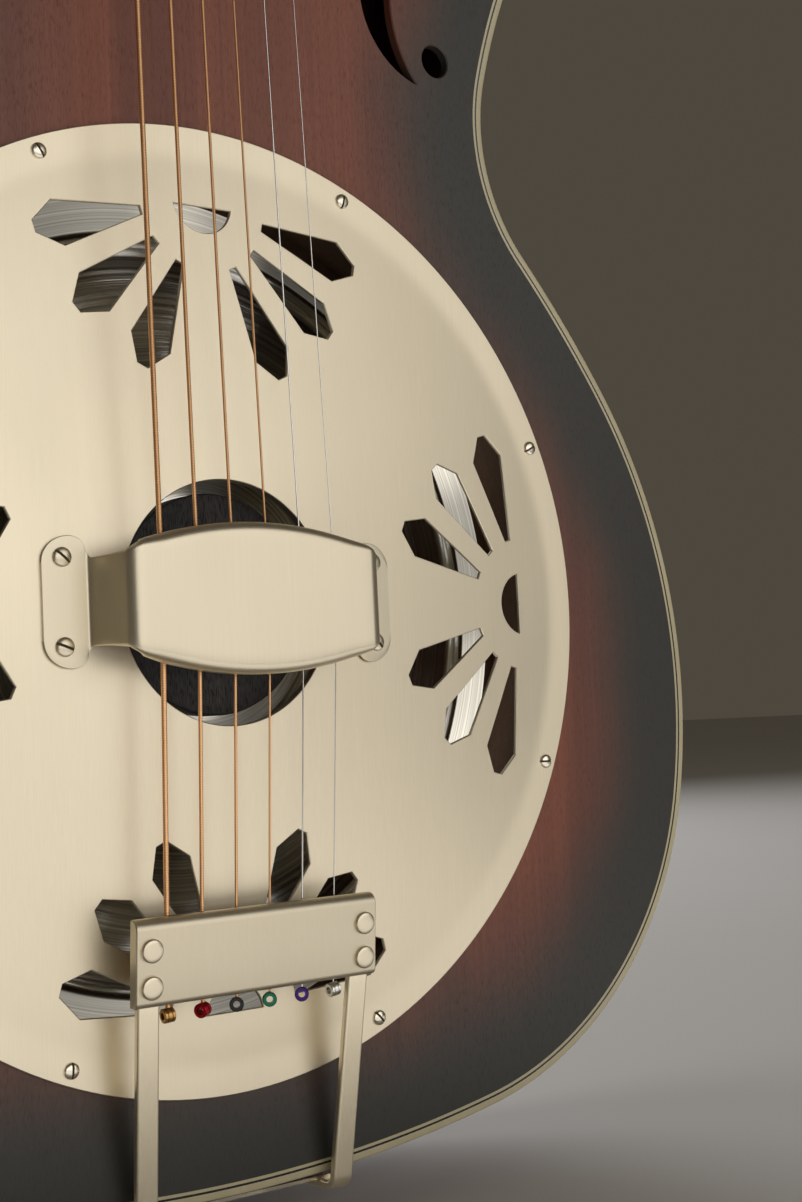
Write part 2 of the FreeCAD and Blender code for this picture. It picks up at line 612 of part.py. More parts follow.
def build_neck():
    nut_back = STRING_LENGTH + NUT_T
    shaft = Part.makeLoft([neck_section(JOIN_Y - HEEL_SCRIBE, board_half_width(JOIN_Y) - 0.4, NECK_JOIN_DEPTH),
                           neck_section(nut_back + 4, board_half_width(nut_back + 4), NECK_NUT_DEPTH)], True, True)
    shaft = tilt_neck(shaft)
    channel = tilt_neck(box(-2.9, 2.9, JOIN_Y + 15, nut_back + 10, -BOARD_T - 7, -BOARD_T + 1))
    sections = [heel_section(0.0 + BOARD_JOIN_Z - BOARD_T - 0.3, 62, 26.5), heel_section(-22.0, 34, 25.0),
                heel_section(-45.0, 24, 21.0), heel_section(-78.0, 19, 16.0)]
    heel = Part.makeLoft(sections, True, False)
    under_board = tilt_neck(box(-60, 60, JOIN_Y - 15, JOIN_Y + 120, -BOARD_T, 40))
    heel = heel.cut(under_board)
    body = body_plate(0, -BODY_DEPTH, 2.0)
    tenon = box(*TENON)
    head = head_frame(prism(head_outline(), -HEAD_T, 0))
    back_of_nut = tilt_neck(box(-60, 60, nut_back, nut_back + 20, -BOARD_T, 20))
    above_face = head_frame(box(-60, 60, -0.01, 30, 0, 30))
    neck = shaft.fuse([heel, head]).cut(body).fuse(tenon)
    neck = neck.cut([back_of_nut, above_face])
    pocket = head_frame(box(-3.4, 3.4, -6, 20, -6, 3))
    holes = [head_frame(rod((x, y, -HEAD_T - 1), (x, y, 1), 4.5)) for x, y in POST_SPOTS]
    holes += [head_frame(rod((x, y + away, -HEAD_T - 1), (x, y + away, -HEAD_T + 8), 1.0))
              for x, y in POST_SPOTS for away in MACHINE_SCREWS]
    neck = neck.cut([pocket, channel] + holes).removeSplitter()
    save("neck", neck)
    cap = prism(heel_section(0, 19.6, 16.6), -2.0, 0)
    cap.translate(Vector(0, 0, -78.0))
    save("heel_cap", cap.cut(body))

    veneer = prism(head_outline(), 0.0, VENEER_T)
    veneer_pocket = box(-3.4, 3.4, -6, 20, -1, 3)
    veneer_holes = [rod((x, y, -1), (x, y, 3), 4.5) for x, y in POST_SPOTS]
    save("headstock_veneer", head_frame(veneer.cut([veneer_pocket] + veneer_holes)).cut(back_of_nut.cut(above_face)))

    truss = rod((0, JOIN_Y + 17, -BOARD_T - 3.4), (0, nut_back + 9, -BOARD_T - 3.4), 2.4)
    save("truss_rod", tilt_neck(truss))
    cover = [Vector(-9, 1.5, 0), Vector(9, 1.5, 0), Vector(9, 9, 0), Vector(3.5, 30, 0), Vector(-3.5, 30, 0),
             Vector(-9, 9, 0)]
    plate = prism(Part.makePolygon(cover + [cover[0]]), VENEER_T, VENEER_T + 1.6)
    plate = plate.makeFillet(1.5, [e for e in plate.Edges if e.BoundBox.ZLength > 1.5])
    spots = [(-6.4, 4.4), (6.4, 4.4), (0.0, 26.5)]
    cuts = [rod((x, y, 0), (x, y, 5), 0.8) for x, y in spots]
    save("truss_rod_cover", head_frame(plate.cut(cuts)))
    screws = []
    for index, (x, y) in enumerate(spots):
        screw = round_head_screw(0.8, 1.6, 1.5, 0.8, 25 + 50 * index)
        screw.translate(Vector(x, y, VENEER_T + 1.6))
        screws.append(head_frame(screw))
    save("truss_cover_screws", *screws)


def board_prism(y0, y1, z0, z1):
    points = [(-board_half_width(y0), y0, 0), (board_half_width(y0), y0, 0),
              (board_half_width(y1), y1, 0), (-board_half_width(y1), y1, 0)]
    return prism(polygon(points), z0, z1)


def build_fingerboard():
    board = board_prism(BOARD_END_Y, STRING_LENGTH, -BOARD_T, 1)
    camber = Part.makeCylinder(BOARD_RADIUS, 700, Vector(0, 0, -BOARD_RADIUS), Vector(0, 1, 0))
    foot = board_prism(BOARD_END_Y, JOIN_Y, -20, -BOARD_T)
    board = tilt_neck(board.common(camber).fuse(foot)).cut(box(-60, 60, 100, JOIN_Y, -30, 0.02))
    shaft_room = tilt_neck(box(-60, 60, JOIN_Y, 700, -40, -BOARD_T))
    board = board.cut(shaft_room)

    frets = []
    slots = []
    for n in range(1, FRETS + 1):
        y = fret_y(n)
        crown = [(FRET_W / 2, 0), (FRET_W * 0.36, FRET_H * 0.75), (FRET_W * 0.14, FRET_H)]
        shape = [(a, b) for a, b in crown] + [(-a, b) for a, b in crown[::-1]]
        shape += [(-0.3, 0), (-0.3, -1.8), (0.3, -1.8), (0.3, 0)]
        face = Part.Face(polygon([(0, y + a, b) for a, b in shape]))
        swing = math.degrees(math.asin((board_half_width(y) - 0.2) / BOARD_RADIUS))
        centre = Vector(0, 0, -BOARD_RADIUS)
        face.rotate(centre, Vector(0, 1, 0), -swing)
        fret = face.revolve(centre, Vector(0, 1, 0), 2 * swing)
        frets.append(tilt_neck(fret))
        tang = Part.Face(polygon([(0, y - 0.3, 0.5), (0, y + 0.3, 0.5), (0, y + 0.3, -1.85), (0, y - 0.3, -1.85)]))
        tang.rotate(centre, Vector(0, 1, 0), -swing - 1)
        slots.append(tilt_neck(tang.revolve(centre, Vector(0, 1, 0), 2 * swing + 2)))
    markers = []
    marker_slots = []
    for n in (3, 5, 7, 9, 12, 15, 17):
        y = (fret_y(n) + fret_y(n - 1)) / 2
        for x in ((-9.5, 9.5) if n == 12 else (0.0,)):
            disc = rod((x, y, -2.0), (x, y, 1.0), 3.0)
            markers.append(tilt_neck(disc.common(camber)))
            marker_slots.append(tilt_neck(disc))
    save("fingerboard", board.cut(slots + marker_slots))
    save("frets", *frets)
    save("fret_markers", *markers)

    nut_w = board_half_width(STRING_LENGTH) * 2
    nut = Part.makeBox(nut_w, NUT_T, BOARD_T + 2.4, Vector(-nut_w / 2, STRING_LENGTH, -BOARD_T))
    nut = tilt_neck(nut.makeFillet(1.2, [e for e in nut.Edges if e.BoundBox.ZMin > 2.3 and e.BoundBox.XLength > 40]))
    notches = [cut for k in range(6) for cut in string_notch(k)]
    save("nut", nut.cut(notches))


# ---- strings -------------------------------------------------------------------------------------
def string_path(k):
    r = STRING_D[k] / 2
    px, py = POST_SPOTS[k]
    inward = 1 if px < 0 else -1
    return [Vector(string_x(k, ANCHOR_SPREAD), ANCHOR[0] + 1.7, ANCHOR[1]),
            Vector(string_x(k, SADDLE_SPREAD), 0, SADDLE_Z),
            Vector(string_x(k, NUT_SPREAD), STRING_LENGTH + 2.5, NUT_Z),
            head_point(px + inward * (POST_R + r + 0.4), py, VENEER_T + 4.6)]


def string_notch(k):
    # room for a string where it crosses the nut or the saddle, open above
    path = string_path(k)
    r = STRING_D[k] / 2 + 0.03
    notch = wire_along(path, r)
    cuts = [notch]
    for i in (1, 2):
        for a, b in ((path[i - 1], path[i]), (path[i], path[i + 1])):
            along = (b - a).normalize()
            near, far = (path[i] - along * 4, path[i]) if b == path[i] else (path[i], path[i] + along * 4)
            side = Vector(r, 0, 0)
            corners = [near - side, near + side, far + side, far - side]
            face = Part.Face(Part.makePolygon(corners + [corners[0]]))
            cuts.append(face.extrude(Vector(0, 0, 5)))
    return cuts


def wire_along(path, radius):
    # a round wire with mitred corners
    start, along = path[0], path[1] - path[0]
    section = Part.Wire(Part.makeCircle(radius, start, along))
    sweep = Part.BRepOffsetAPI.MakePipeShell(Part.makePolygon(path))
    sweep.setTransitionMode(1)
    sweep.add(section)
    sweep.build()
    sweep.makeSolid()
    return sweep.shape()


def build_strings():
    wound, plain, balls = [], [], []
    for k in range(6):
        (wound if k < 4 else plain).append(wire_along(string_path(k), STRING_D[k] / 2))
        x = string_x(k, ANCHOR_SPREAD)
        balls.append(rod((x - 1.9, ANCHOR[0] - 0.4, ANCHOR[1]), (x + 1.9, ANCHOR[0] - 0.4, ANCHOR[1]), 2.0))
    save("wound_strings", *wound)
    save("plain_strings", *plain)
    save("string_ball_ends", *balls)


# ---- tuning machines -----------------------------------------------------------------------------
MACHINE_Z = -HEAD_T - MACHINE_PLATE_T - 1.0 - GEAR_W / 2      # middle of gear and worm
WORM_Y = -(GEAR_PITCH_R + WORM_PITCH_R)                       # worm axis from the post axis
LEAD = 2 * math.pi * GEAR_PITCH_R / GEAR_TEETH
EAR_X = (5.6, 7.1)


def gear_wheel():
    root, tip = GEAR_PITCH_R - TOOTH_IN, GEAR_PITCH_R + TOOTH_OUT
    points = []
    for tooth in range(GEAR_TEETH):
        centre = -HALF + (tooth + 0.5) * 2 * math.pi / GEAR_TEETH
        for radius, width in ((root, 0.95), (tip, 0.45), (tip, -0.45), (root, -0.95)):
            angle = centre - width / 2 / GEAR_PITCH_R
            points.append((radius * math.cos(angle), radius * math.sin(angle), 0))
    return prism(polygon(points), MACHINE_Z - GEAR_W / 2, MACHINE_Z + GEAR_W / 2)


def worm_thread():
    # a ridge of flat facets wound round the X axis; it faces the gear at x = 0
    inner, outer = WORM_PITCH_R - TOOTH_IN - 0.25, WORM_PITCH_R + TOOTH_OUT
    per_turn, turns = 14, 3.5
    steps = int(per_turn * turns)
    sections = []
    for i in range(steps + 1):
        angle = 2 * math.pi * (i - steps / 2) / per_turn
        x = LEAD * angle / (2 * math.pi)
        ring = []
        for radius, half in ((inner, 0.52), (outer, 0.23), (outer, -0.23), (inner, -0.52)):
            ring.append(Vector(x + half, radius * math.cos(angle), radius * math.sin(angle)))
        sections.append(ring)
    faces = []
    for a, b in zip(sections, sections[1:]):
        for j in range(4):
            n = (j + 1) % 4
            faces.append(Part.Face(Part.makePolygon([a[j], b[j], a[n], a[j]])))
            faces.append(Part.Face(Part.makePolygon([a[n], b[j], b[n], a[n]])))
    for ring in (sections[0], sections[-1]):
        faces.append(Part.Face(Part.makePolygon(ring + [ring[0]])))
    solid = Part.makeSolid(Part.makeShell(faces))
    if solid.Volume < 0:
        solid.reverse()
    return solid


def tuning_key(side):
    core = rod((-EAR_X[1] - 0.6, 0, 0), (EAR_X[1] + 0.6, 0, 0), WORM_PITCH_R - TOOTH_IN)
    worm = worm_thread()
    ends = [rod((s * 5.2, 0, 0), (s * (EAR_X[1] + 1.0), 0, 0), KEY_R) for s in (-1, 1)]
    button_x = BUTTON_X - POST_X
    stem = rod((side * EAR_X[1], 0, 0), (side * (button_x - 2), 0, 0), KEY_R)
    worm_part = fuse_all([core, worm] + ends + [stem])
    hx, hy, hz = BUTTON_HALF
    oval = Part.Wire(Part.Ellipse(Vector(0, 0, 0), hy, hx).toShape())
    button = prism(oval, -hz, hz)
    button = button.makeFillet(hz * 0.8, [e for e in button.Edges if e.BoundBox.ZLength < 0.1])
    button.rotate(Vector(0, 0, 0), Vector(0, 0, 1), 90)
    collar = rod((-side * (hx + 1.8), 0, 0), (-side * (hx - 1.5), 0, 0), 2.6)
    button = button.fuse(collar).removeSplitter()
    button.translate(Vector(side * button_x, 0, 0))
    button = button.cut(rod((0, 0, 0), (side * (button_x - 2), 0, 0), KEY_R))
    return worm_part, button


def post():
    foot = MACHINE_Z - GEAR_W / 2
    r = POST_R
    low, high = VENEER_T + 2.6, POST_TOP - 2.6
    profile = [(0, foot - 1.2), (4.0, foot - 1.2), (4.0, foot), (r, foot), (r, low), (r - 0.5, low + 0.8),
               (r - 0.5, high - 0.8), (r, high), (r, POST_TOP - 0.5), (r - 0.5, POST_TOP), (0, POST_TOP)]
    hole = rod((-5, 0, (low + high) / 2), (5, 0, (low + high) / 2), 0.9)
    return lathe(profile).cut(hole)


def machine_plate():
    top = -HEAD_T
    plate = box(-8.0, 8.0, WORM_Y - 8.0, 13.0, top - MACHINE_PLATE_T, top)
    plate = plate.makeFillet(3.0, [e for e in plate.Edges if e.BoundBox.ZLength > 1.1])
    low = MACHINE_Z - 3.0
    ears = [box(s * 6.35 - 0.75, s * 6.35 + 0.75, WORM_Y - 3.4, WORM_Y + 3.4, low, top - MACHINE_PLATE_T + 0.01)
            for s in (-1, 1)]
    plate = fuse_all([plate] + ears)
    bore = rod((-12, WORM_Y, MACHINE_Z), (12, WORM_Y, MACHINE_Z), KEY_R + RUNNING_GAP)
    centre = rod((0, 0, top - 5), (0, 0, top + 1), POST_R + RUNNING_GAP)
    screws = [rod((0, y, top - 5), (0, y, top + 1), 1.0) for y in MACHINE_SCREWS]
    return plate.cut([bore, centre] + screws)


def build_machines():
    plates, bushings, screws = [], [], []
    bushing = lathe([(POST_R + RUNNING_GAP, -8.0), (4.5, -8.0), (4.5, VENEER_T), (5.6, VENEER_T),
                     (5.2, VENEER_T + 1.3), (POST_R + RUNNING_GAP, VENEER_T + 1.3)])
    screw = round_head_screw(1.0, 7.0, 1.9, 0.9, 20)
    screw.rotate(Vector(0, 0, 0), Vector(1, 0, 0), 180)
    for number, (x, y) in enumerate(POST_SPOTS, 1):
        side = -1 if x < 0 else 1

        def placed(shape, lift=0.0, away=0.0):
            moved = shape.copy()
            moved.translate(Vector(x, y + away, lift))
            return head_frame(moved)

        worm, button = tuning_key(side)
        save("tuner_key_%d" % number, placed(worm, MACHINE_Z, WORM_Y), placed(button, MACHINE_Z, WORM_Y))
        save("tuner_post_%d" % number, placed(post()))
        bore = rod((0, 0, -40), (0, 0, 40), POST_R)
        save("tuner_gear_%d" % number, placed(gear_wheel().cut(bore)))
        plates.append(placed(machine_plate()))
        bushings.append(placed(bushing))
        screws += [placed(screw, -HEAD_T - MACHINE_PLATE_T, away) for away in MACHINE_SCREWS]
        axis_key = to_row(placed(Part.Vertex(0, 0, 0), MACHINE_Z, WORM_Y)).Point
        axis_post = to_row(placed(Part.Vertex(0, 0, 0))).Point
        print("machine", number, [round(v, 4) for v in axis_key], [round(v, 4) for v in axis_post])
    save("tuner_plates", *plates)
    save("tuner_bushings", *bushings)
    save("tuner_screws", *screws)
    low, high = [to_row(Part.Vertex(*head_point(0, 0, z))).Point for z in (0, 1)]
    print("post axis", [round(v, 6) for v in high - low])


os.makedirs("parts", exist_ok=True)
build_body()
build_cone()
build_cover()
build_palm_rest()
build_tail_fittings()
build_neck()
build_fingerboard()
build_strings()
build_machines()
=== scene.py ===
import json
import math
import bmesh
import bpy
from mathutils import Matrix, Vector, kdtree
from mathutils.geometry import delaunay_2d_cdt


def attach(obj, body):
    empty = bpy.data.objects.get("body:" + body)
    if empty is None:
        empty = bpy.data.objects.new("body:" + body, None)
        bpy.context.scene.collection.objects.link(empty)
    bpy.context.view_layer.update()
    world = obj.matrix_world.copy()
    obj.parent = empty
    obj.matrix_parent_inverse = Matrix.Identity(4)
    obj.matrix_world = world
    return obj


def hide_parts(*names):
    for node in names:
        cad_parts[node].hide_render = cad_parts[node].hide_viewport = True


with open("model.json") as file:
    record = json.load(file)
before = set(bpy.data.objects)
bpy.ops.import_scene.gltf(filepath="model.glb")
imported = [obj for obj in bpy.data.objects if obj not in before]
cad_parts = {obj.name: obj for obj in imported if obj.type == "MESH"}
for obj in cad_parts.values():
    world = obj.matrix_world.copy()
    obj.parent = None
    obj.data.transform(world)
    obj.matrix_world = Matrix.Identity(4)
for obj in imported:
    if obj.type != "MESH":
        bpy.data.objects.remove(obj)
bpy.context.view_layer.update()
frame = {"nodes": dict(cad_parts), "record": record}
nodes = frame["nodes"]

# Shapes are drawn in the bench frame, in millimetres: x to the treble side, y along the
# strings from the cone's centre, z out of the top. BENCH takes them to the row frame.
BENCH = Matrix(((0.001, 0, 0, 0), (0, 0, -0.001, -0.031), (0, 0.001, 0, 0.170), (0, 0, 0, 1)))
ROOT = "guitar"


# ---- looks ----
class Look:
    def __init__(self, name, **sockets):
        self.material = bpy.data.materials.new(name)
        self.material.use_nodes = True
        self.tree = self.material.node_tree
        self.shader = self.tree.nodes["Principled BSDF"]
        for key, value in sockets.items():
            self.shader.inputs[key.replace("_", " ")].default_value = value
        self.coords = self.node("ShaderNodeTexCoord").outputs["Object"]

    def node(self, kind, **settings):
        made = self.tree.nodes.new(kind)
        for key, value in settings.items():
            setattr(made, key, value)
        return made

    def feed(self, socket, source):
        if isinstance(source, bpy.types.NodeSocket):
            self.tree.links.new(source, socket)
        else:
            socket.default_value = source

    def stretched(self, scale, source=None):
        mapping = self.node("ShaderNodeMapping")
        self.feed(mapping.inputs["Vector"], source or self.coords)
        mapping.inputs["Scale"].default_value = scale
        return mapping.outputs[0]

    def noise(self, scale, detail=3.0, rough=0.55, warp=0.0, source=None):
        made = self.node("ShaderNodeTexNoise")
        self.feed(made.inputs["Vector"], self.stretched(scale, source))
        made.inputs["Scale"].default_value = 1.0
        made.inputs["Detail"].default_value = detail
        made.inputs["Roughness"].default_value = rough
        made.inputs["Distortion"].default_value = warp
        return made.outputs["Fac"]

    def ramp(self, source, stops):
        # a smooth run of colours, each given with its place from 0 to 1
        made = self.node("ShaderNodeValToRGB")
        made.color_ramp.interpolation = "EASE"
        elements = made.color_ramp.elements
        while len(elements) < len(stops):
            elements.new(0.5)
        for element, (place, colour) in zip(elements, stops):
            element.position = place
            element.color = (*colour, 1)
        self.feed(made.inputs["Fac"], source)
        return made.outputs["Color"]

    def mix(self, factor, a, b):
        made = self.node("ShaderNodeMix", data_type="RGBA")
        for name, value in (("Factor_Float", factor), ("A_Color", a), ("B_Color", b)):
            socket = next(s for s in made.inputs if s.identifier == name)
            self.feed(socket, value)
        return next(s for s in made.outputs if s.identifier == "Result_Color")

    def maths(self, operation, a, b=0.0):
        made = self.node("ShaderNodeMath", operation=operation)
        self.feed(made.inputs[0], a)
        self.feed(made.inputs[1], b)
        return made.outputs[0]

    def span(self, source, low, high, out_low=0.0, out_high=1.0):
        made = self.node("ShaderNodeMapRange")
        for key, value in zip(("Value", "From Min", "From Max", "To Min", "To Max"),
                              (source, low, high, out_low, out_high)):
            self.feed(made.inputs[key], value)
        return made.outputs[0]

    def bump(self, height, strength, distance, below=None):
        made = self.node("ShaderNodeBump")
        made.inputs["Strength"].default_value = strength
        made.inputs["Distance"].default_value = distance
        self.feed(made.inputs["Height"], height)
        if below is not None:
            self.feed(made.inputs["Normal"], below)
        return made.outputs[0]

    def finish(self, colour, rough, normal=None):
        for key, value in (("Base Color", colour), ("Roughness", rough), ("Normal", normal)):
            if value is not None:
                self.feed(self.shader.inputs[key], value)
        return self.material


def shade(colour, factor):
    return tuple(c * factor for c in colour)


def brushed_nickel(name, tone, rough, fine=(2600, 2600, 18)):
    look = Look(name, Metallic=1.0)
    streaks = look.noise(fine, 2.0, 0.6)
    broad = look.noise((260, 260, 5), 2.0)
    clouds = look.noise((14, 14, 9), 2.0)
    colour = look.mix(look.span(streaks, 0.3, 0.7), (*shade(tone, 0.965), 1), (*shade(tone, 1.025), 1))
    colour = look.mix(look.span(broad, 0.35, 0.65, 0.0, 0.4), colour, (*shade(tone, 0.975), 1))
    roughness = look.span(clouds, 0.3, 0.7, rough - 0.03, rough + 0.03)
    roughness = look.maths("ADD", roughness, look.span(streaks, 0.2, 0.8, -0.04, 0.04))
    return look.finish(colour, roughness, look.bump(streaks, 0.05, 0.00004))


def polished_metal(name, tone, rough):
    look = Look(name, Metallic=1.0)
    smudge = look.noise((90, 90, 90), 4.0)
    grain = look.noise((3000, 3000, 3000), 1.0)
    colour = look.mix(smudge, (*shade(tone, 0.9), 1), (*shade(tone, 1.04), 1))
    roughness = look.span(smudge, 0.3, 0.7, rough * 0.75, rough * 1.3)
    return look.finish(colour, roughness, look.bump(grain, 0.05, 0.00002))


def round_ring(look, angle, levels):
    # a level for each angle round the cone, in degrees
    stops = [((degrees + 180) / 360, (level,) * 3) for degrees, level in levels]
    return look.ramp(angle, stops)


def spun_aluminium():
    look = Look("spun_aluminium", Metallic=1.0)
    split = look.node("ShaderNodeSeparateXYZ")
    look.feed(split.inputs[0], look.coords)
    across = split.outputs["X"]
    along = look.maths("SUBTRACT", split.outputs["Z"], CONE_AXIS_UP)
    squares = look.maths("ADD", look.maths("MULTIPLY", across, across), look.maths("MULTIPLY", along, along))
    radius = look.maths("SQRT", squares)
    ring = look.node("ShaderNodeCombineXYZ")
    look.feed(ring.inputs["X"], radius)
    lines = look.noise((1500, 1, 1), 2.0, 0.6, source=ring.outputs[0])
    bands = look.noise((420, 1, 1), 2.0, 0.6, source=ring.outputs[0])
    smear = look.noise((60, 60, 60), 3.0)
    colour = look.mix(look.span(lines, 0.35, 0.65), (0.30, 0.29, 0.27, 1), (0.80, 0.79, 0.76, 1))
    colour = look.mix(look.span(bands, 0.4, 0.6, 0.0, 0.6), colour, (0.28, 0.27, 0.25, 1))
    roughness = look.span(smear, 0.3, 0.7, 0.16, 0.26)
    normal = look.bump(lines, 0.45, 0.00008, look.bump(bands, 0.5, 0.0004))

    # the flange and the slope by the biscuit give off a little light, in place of what
    # bounces about under the cover: more at some places round the ring than at others
    on_flange = look.span(radius, *FLANGE_FROM)
    by_biscuit = look.span(radius, *SLOPE_UP_TO)
    angle = look.span(look.maths("ARCTAN2", along, across), -math.pi, math.pi)
    patches = look.maths("MULTIPLY", on_flange, round_ring(look, angle, FLANGE_LEVELS))
    inner = look.maths("MULTIPLY", by_biscuit, round_ring(look, angle, SLOPE_LEVELS))
    grooves = look.maths("MULTIPLY", look.span(lines, 0.36, 0.60, 0.62, 1.08),
                         look.span(bands, 0.3, 0.7, 0.8, 1.1))
    strength = look.maths("MULTIPLY", look.maths("ADD", patches, inner), grooves)
    look.shader.inputs["Emission Color"].default_value = (1.0, 0.94, 0.80, 1)
    look.feed(look.shader.inputs["Emission Strength"], look.maths("MULTIPLY", strength, FLANGE_LIGHT))
    return look.finish(colour, roughness, normal)


def grained_wood(name, light, dark, rough, pores, coat=0.0, burst=None):
    # burst is where the dark edge ends and where the middle's colour starts, in
    # millimetres from the edge, and the edge's colour
    look = Look(name, Coat_Weight=coat, Coat_Roughness=0.32, Specular_IOR_Level=0.4)
    ribbon = look.noise((55, 55, 2.2), 3.0, 0.6, 0.6)
    fibre = look.noise((900, 900, 9), 4.0, 0.65)
    dashes = look.noise((3200, 3200, 420), 2.0, 0.5)
    colour = look.mix(look.span(ribbon, 0.32, 0.68), (*dark, 1), (*light, 1))
    colour = look.mix(look.span(fibre, 0.25, 0.75, 0.0, 0.55), colour, (*shade(dark, 0.75), 1))
    pore = look.span(dashes, 0.52, 0.66, 0.0, pores)
    colour = look.mix(pore, colour, (*shade(dark, 0.35), 1))
    if burst is not None:
        dark_to, bright_from, edge_tone = burst
        edge = look.node("ShaderNodeAttribute", attribute_name="from_edge").outputs["Fac"]
        waver = look.span(look.noise((16, 16, 16), 2.0), 0.3, 0.7, -4.0, 4.0)
        edge = look.maths("ADD", edge, waver)
        reach = look.span(edge, dark_to, bright_from, 1.0, 0.0)
        blush = look.ramp(reach, [(0.0, (0, 0, 0)), (1.0, (1, 1, 1))])
        colour = look.mix(blush, colour, (*edge_tone, 1))
    roughness = look.maths("ADD", look.span(fibre, 0.2, 0.8, rough - 0.05, rough + 0.05), pore)
    roughness = look.maths("MINIMUM", roughness, 0.8)
    height = look.maths("SUBTRACT", look.span(fibre, 0.2, 0.8, 0.0, 0.5), pore)
    return look.finish(colour, roughness, look.bump(height, 0.10, 0.00008))


def plastic(name, tone, rough, swirl=0.06, veins=0.0):
    look = Look(name, Coat_Weight=0.2, Coat_Roughness=0.15)
    cloud = look.noise((60, 60, 25), 3.0, 0.5, 1.2)
    speck = look.noise((1500, 1500, 1500), 2.0)
    colour = look.mix(look.span(cloud, 0.3, 0.7), (*shade(tone, 1 - swirl), 1), (*shade(tone, 1 + swirl), 1))
    if veins:
        layers = look.noise((500, 500, 500), 2.0, 0.5, 2.0)
        colour = look.mix(look.span(layers, 0.4, 0.6, 0.0, veins), colour, (0.95, 0.95, 1.0, 1))
    roughness = look.span(speck, 0.3, 0.7, rough * 0.85, rough * 1.2)
    return look.finish(colour, roughness, look.bump(speck, 0.03, 0.00002))


def wound_wire():
    pitch = 0.00042
    look = Look("bronze_wound", Metallic=1.0)
    split = look.node("ShaderNodeSeparateXYZ")
    look.feed(split.inputs[0], look.coords)
    turns = look.maths("SINE", look.maths("MULTIPLY", split.outputs["Z"], 2 * math.pi / pitch))
    wear = look.noise((300, 300, 30), 2.0)
    colour = look.mix(wear, (0.86, 0.47, 0.22, 1), (1.0, 0.62, 0.34, 1))
    colour = look.mix(look.span(turns, -1.0, 0.0, 0.45, 0.0), colour, (0.40, 0.18, 0.07, 1))
    return look.finish(colour, look.span(wear, 0.3, 0.7, 0.34, 0.46), look.bump(turns, 0.3, 0.0001))


CHAMPAGNE = (0.80, 0.722, 0.560)
CREAM = shade((0.70, 0.62, 0.40), 0.72)
CONE_AXIS_UP = 0.170
# where the cone's flange begins and its inner slope ends, in metres from the cone's axis
FLANGE_FROM = (0.1066, 0.1074)
SLOPE_UP_TO = (0.0370, 0.0366)
# how strongly they shine, and how much of that there is at each angle, in degrees
FLANGE_LIGHT = 0.8
FLANGE_LEVELS = (
    (-180, 0.3), (-125, 0.3), (-110, 0.4), (-95, 0.5), (-80, 0.3), (-60, 0.1), (-40, 0.7), (-25, 1.35),
    (-12, 1.1), (0, 0.5), (10, 0.5), (16, 0.6), (25, 1.3), (35, 1.35), (50, 0.12), (68, 0.10), (76, 0.45),
    (86, 0.8), (95, 0.45), (110, 0.32), (135, 0.3), (180, 0.3))
SLOPE_LEVELS = (
    (-180, 0.25), (-150, 0.7), (-125, 0.55), (-95, 0.30), (-60, 0.10), (-30, 0.03), (0, 0.0), (60, 0.0),
    (90, 0.05), (110, 0.35), (140, 0.8), (160, 0.3), (180, 0.25))
# lighter tone, darker tone, roughness, strength of the pores, clear coat, burst
WOODS = {
    "burst_wood": ((0.265, 0.075, 0.038), (0.150, 0.042, 0.023), 0.42, 0.25, 0.15,
                   (15.0, 60.0, (0.030, 0.028, 0.024))),
    "back_wood": ((0.210, 0.064, 0.034), (0.110, 0.034, 0.020), 0.40, 0.7, 0.2),
    "raw_wood": ((0.130, 0.070, 0.040), (0.080, 0.042, 0.024), 0.75, 0.3),
    "neck_wood": ((0.190, 0.060, 0.033), (0.100, 0.033, 0.020), 0.42, 0.6, 0.15),
    "rosewood": ((0.080, 0.036, 0.024), (0.025, 0.013, 0.010), 0.5, 0.9),
    "veneer": ((0.030, 0.027, 0.026), (0.012, 0.011, 0.011), 0.35, 0.4, 0.3),
    "biscuit_wood": ((0.040, 0.034, 0.032), (0.012, 0.010, 0.010), 0.55, 0.8),
    "saddle_wood": ((0.60, 0.42, 0.25), (0.45, 0.29, 0.16), 0.55, 0.2),
}
# tone, roughness, strength of the swirl, strength of the veins
PLASTICS = {
    "cream_binding": (CREAM, 0.35),
    "bone": ((0.80, 0.75, 0.60), 0.35),
    "pearl": ((0.75, 0.77, 0.74), 0.25, 0.1, 0.6),
    "black_plastic": ((0.012, 0.012, 0.012), 0.25),
    "button_plastic": ((0.76, 0.70, 0.55), 0.25, 0.1),
}
# tone, roughness
METALS = {
    "nickel_polished": ((0.74, 0.68, 0.56), 0.24),
    "screw_metal": ((0.78, 0.72, 0.60), 0.28),
    # screw_bright is screw_metal painted lighter, as painted light on the cover's screw heads
    "screw_bright": ((0.85, 0.79, 0.67), 0.24),
    # a dark painted shade for the floors of the screw slots
    "slot_dark": ((0.10, 0.08, 0.05), 0.6),
    "steel": ((0.45, 0.45, 0.45), 0.4),
    "fret_wire": ((0.72, 0.71, 0.67), 0.22),
    "plain_steel": ((0.80, 0.80, 0.80), 0.18),
    "ball_ends": ((0.75, 0.55, 0.25), 0.3),
    "brass": ((0.80, 0.56, 0.24), 0.3),
}
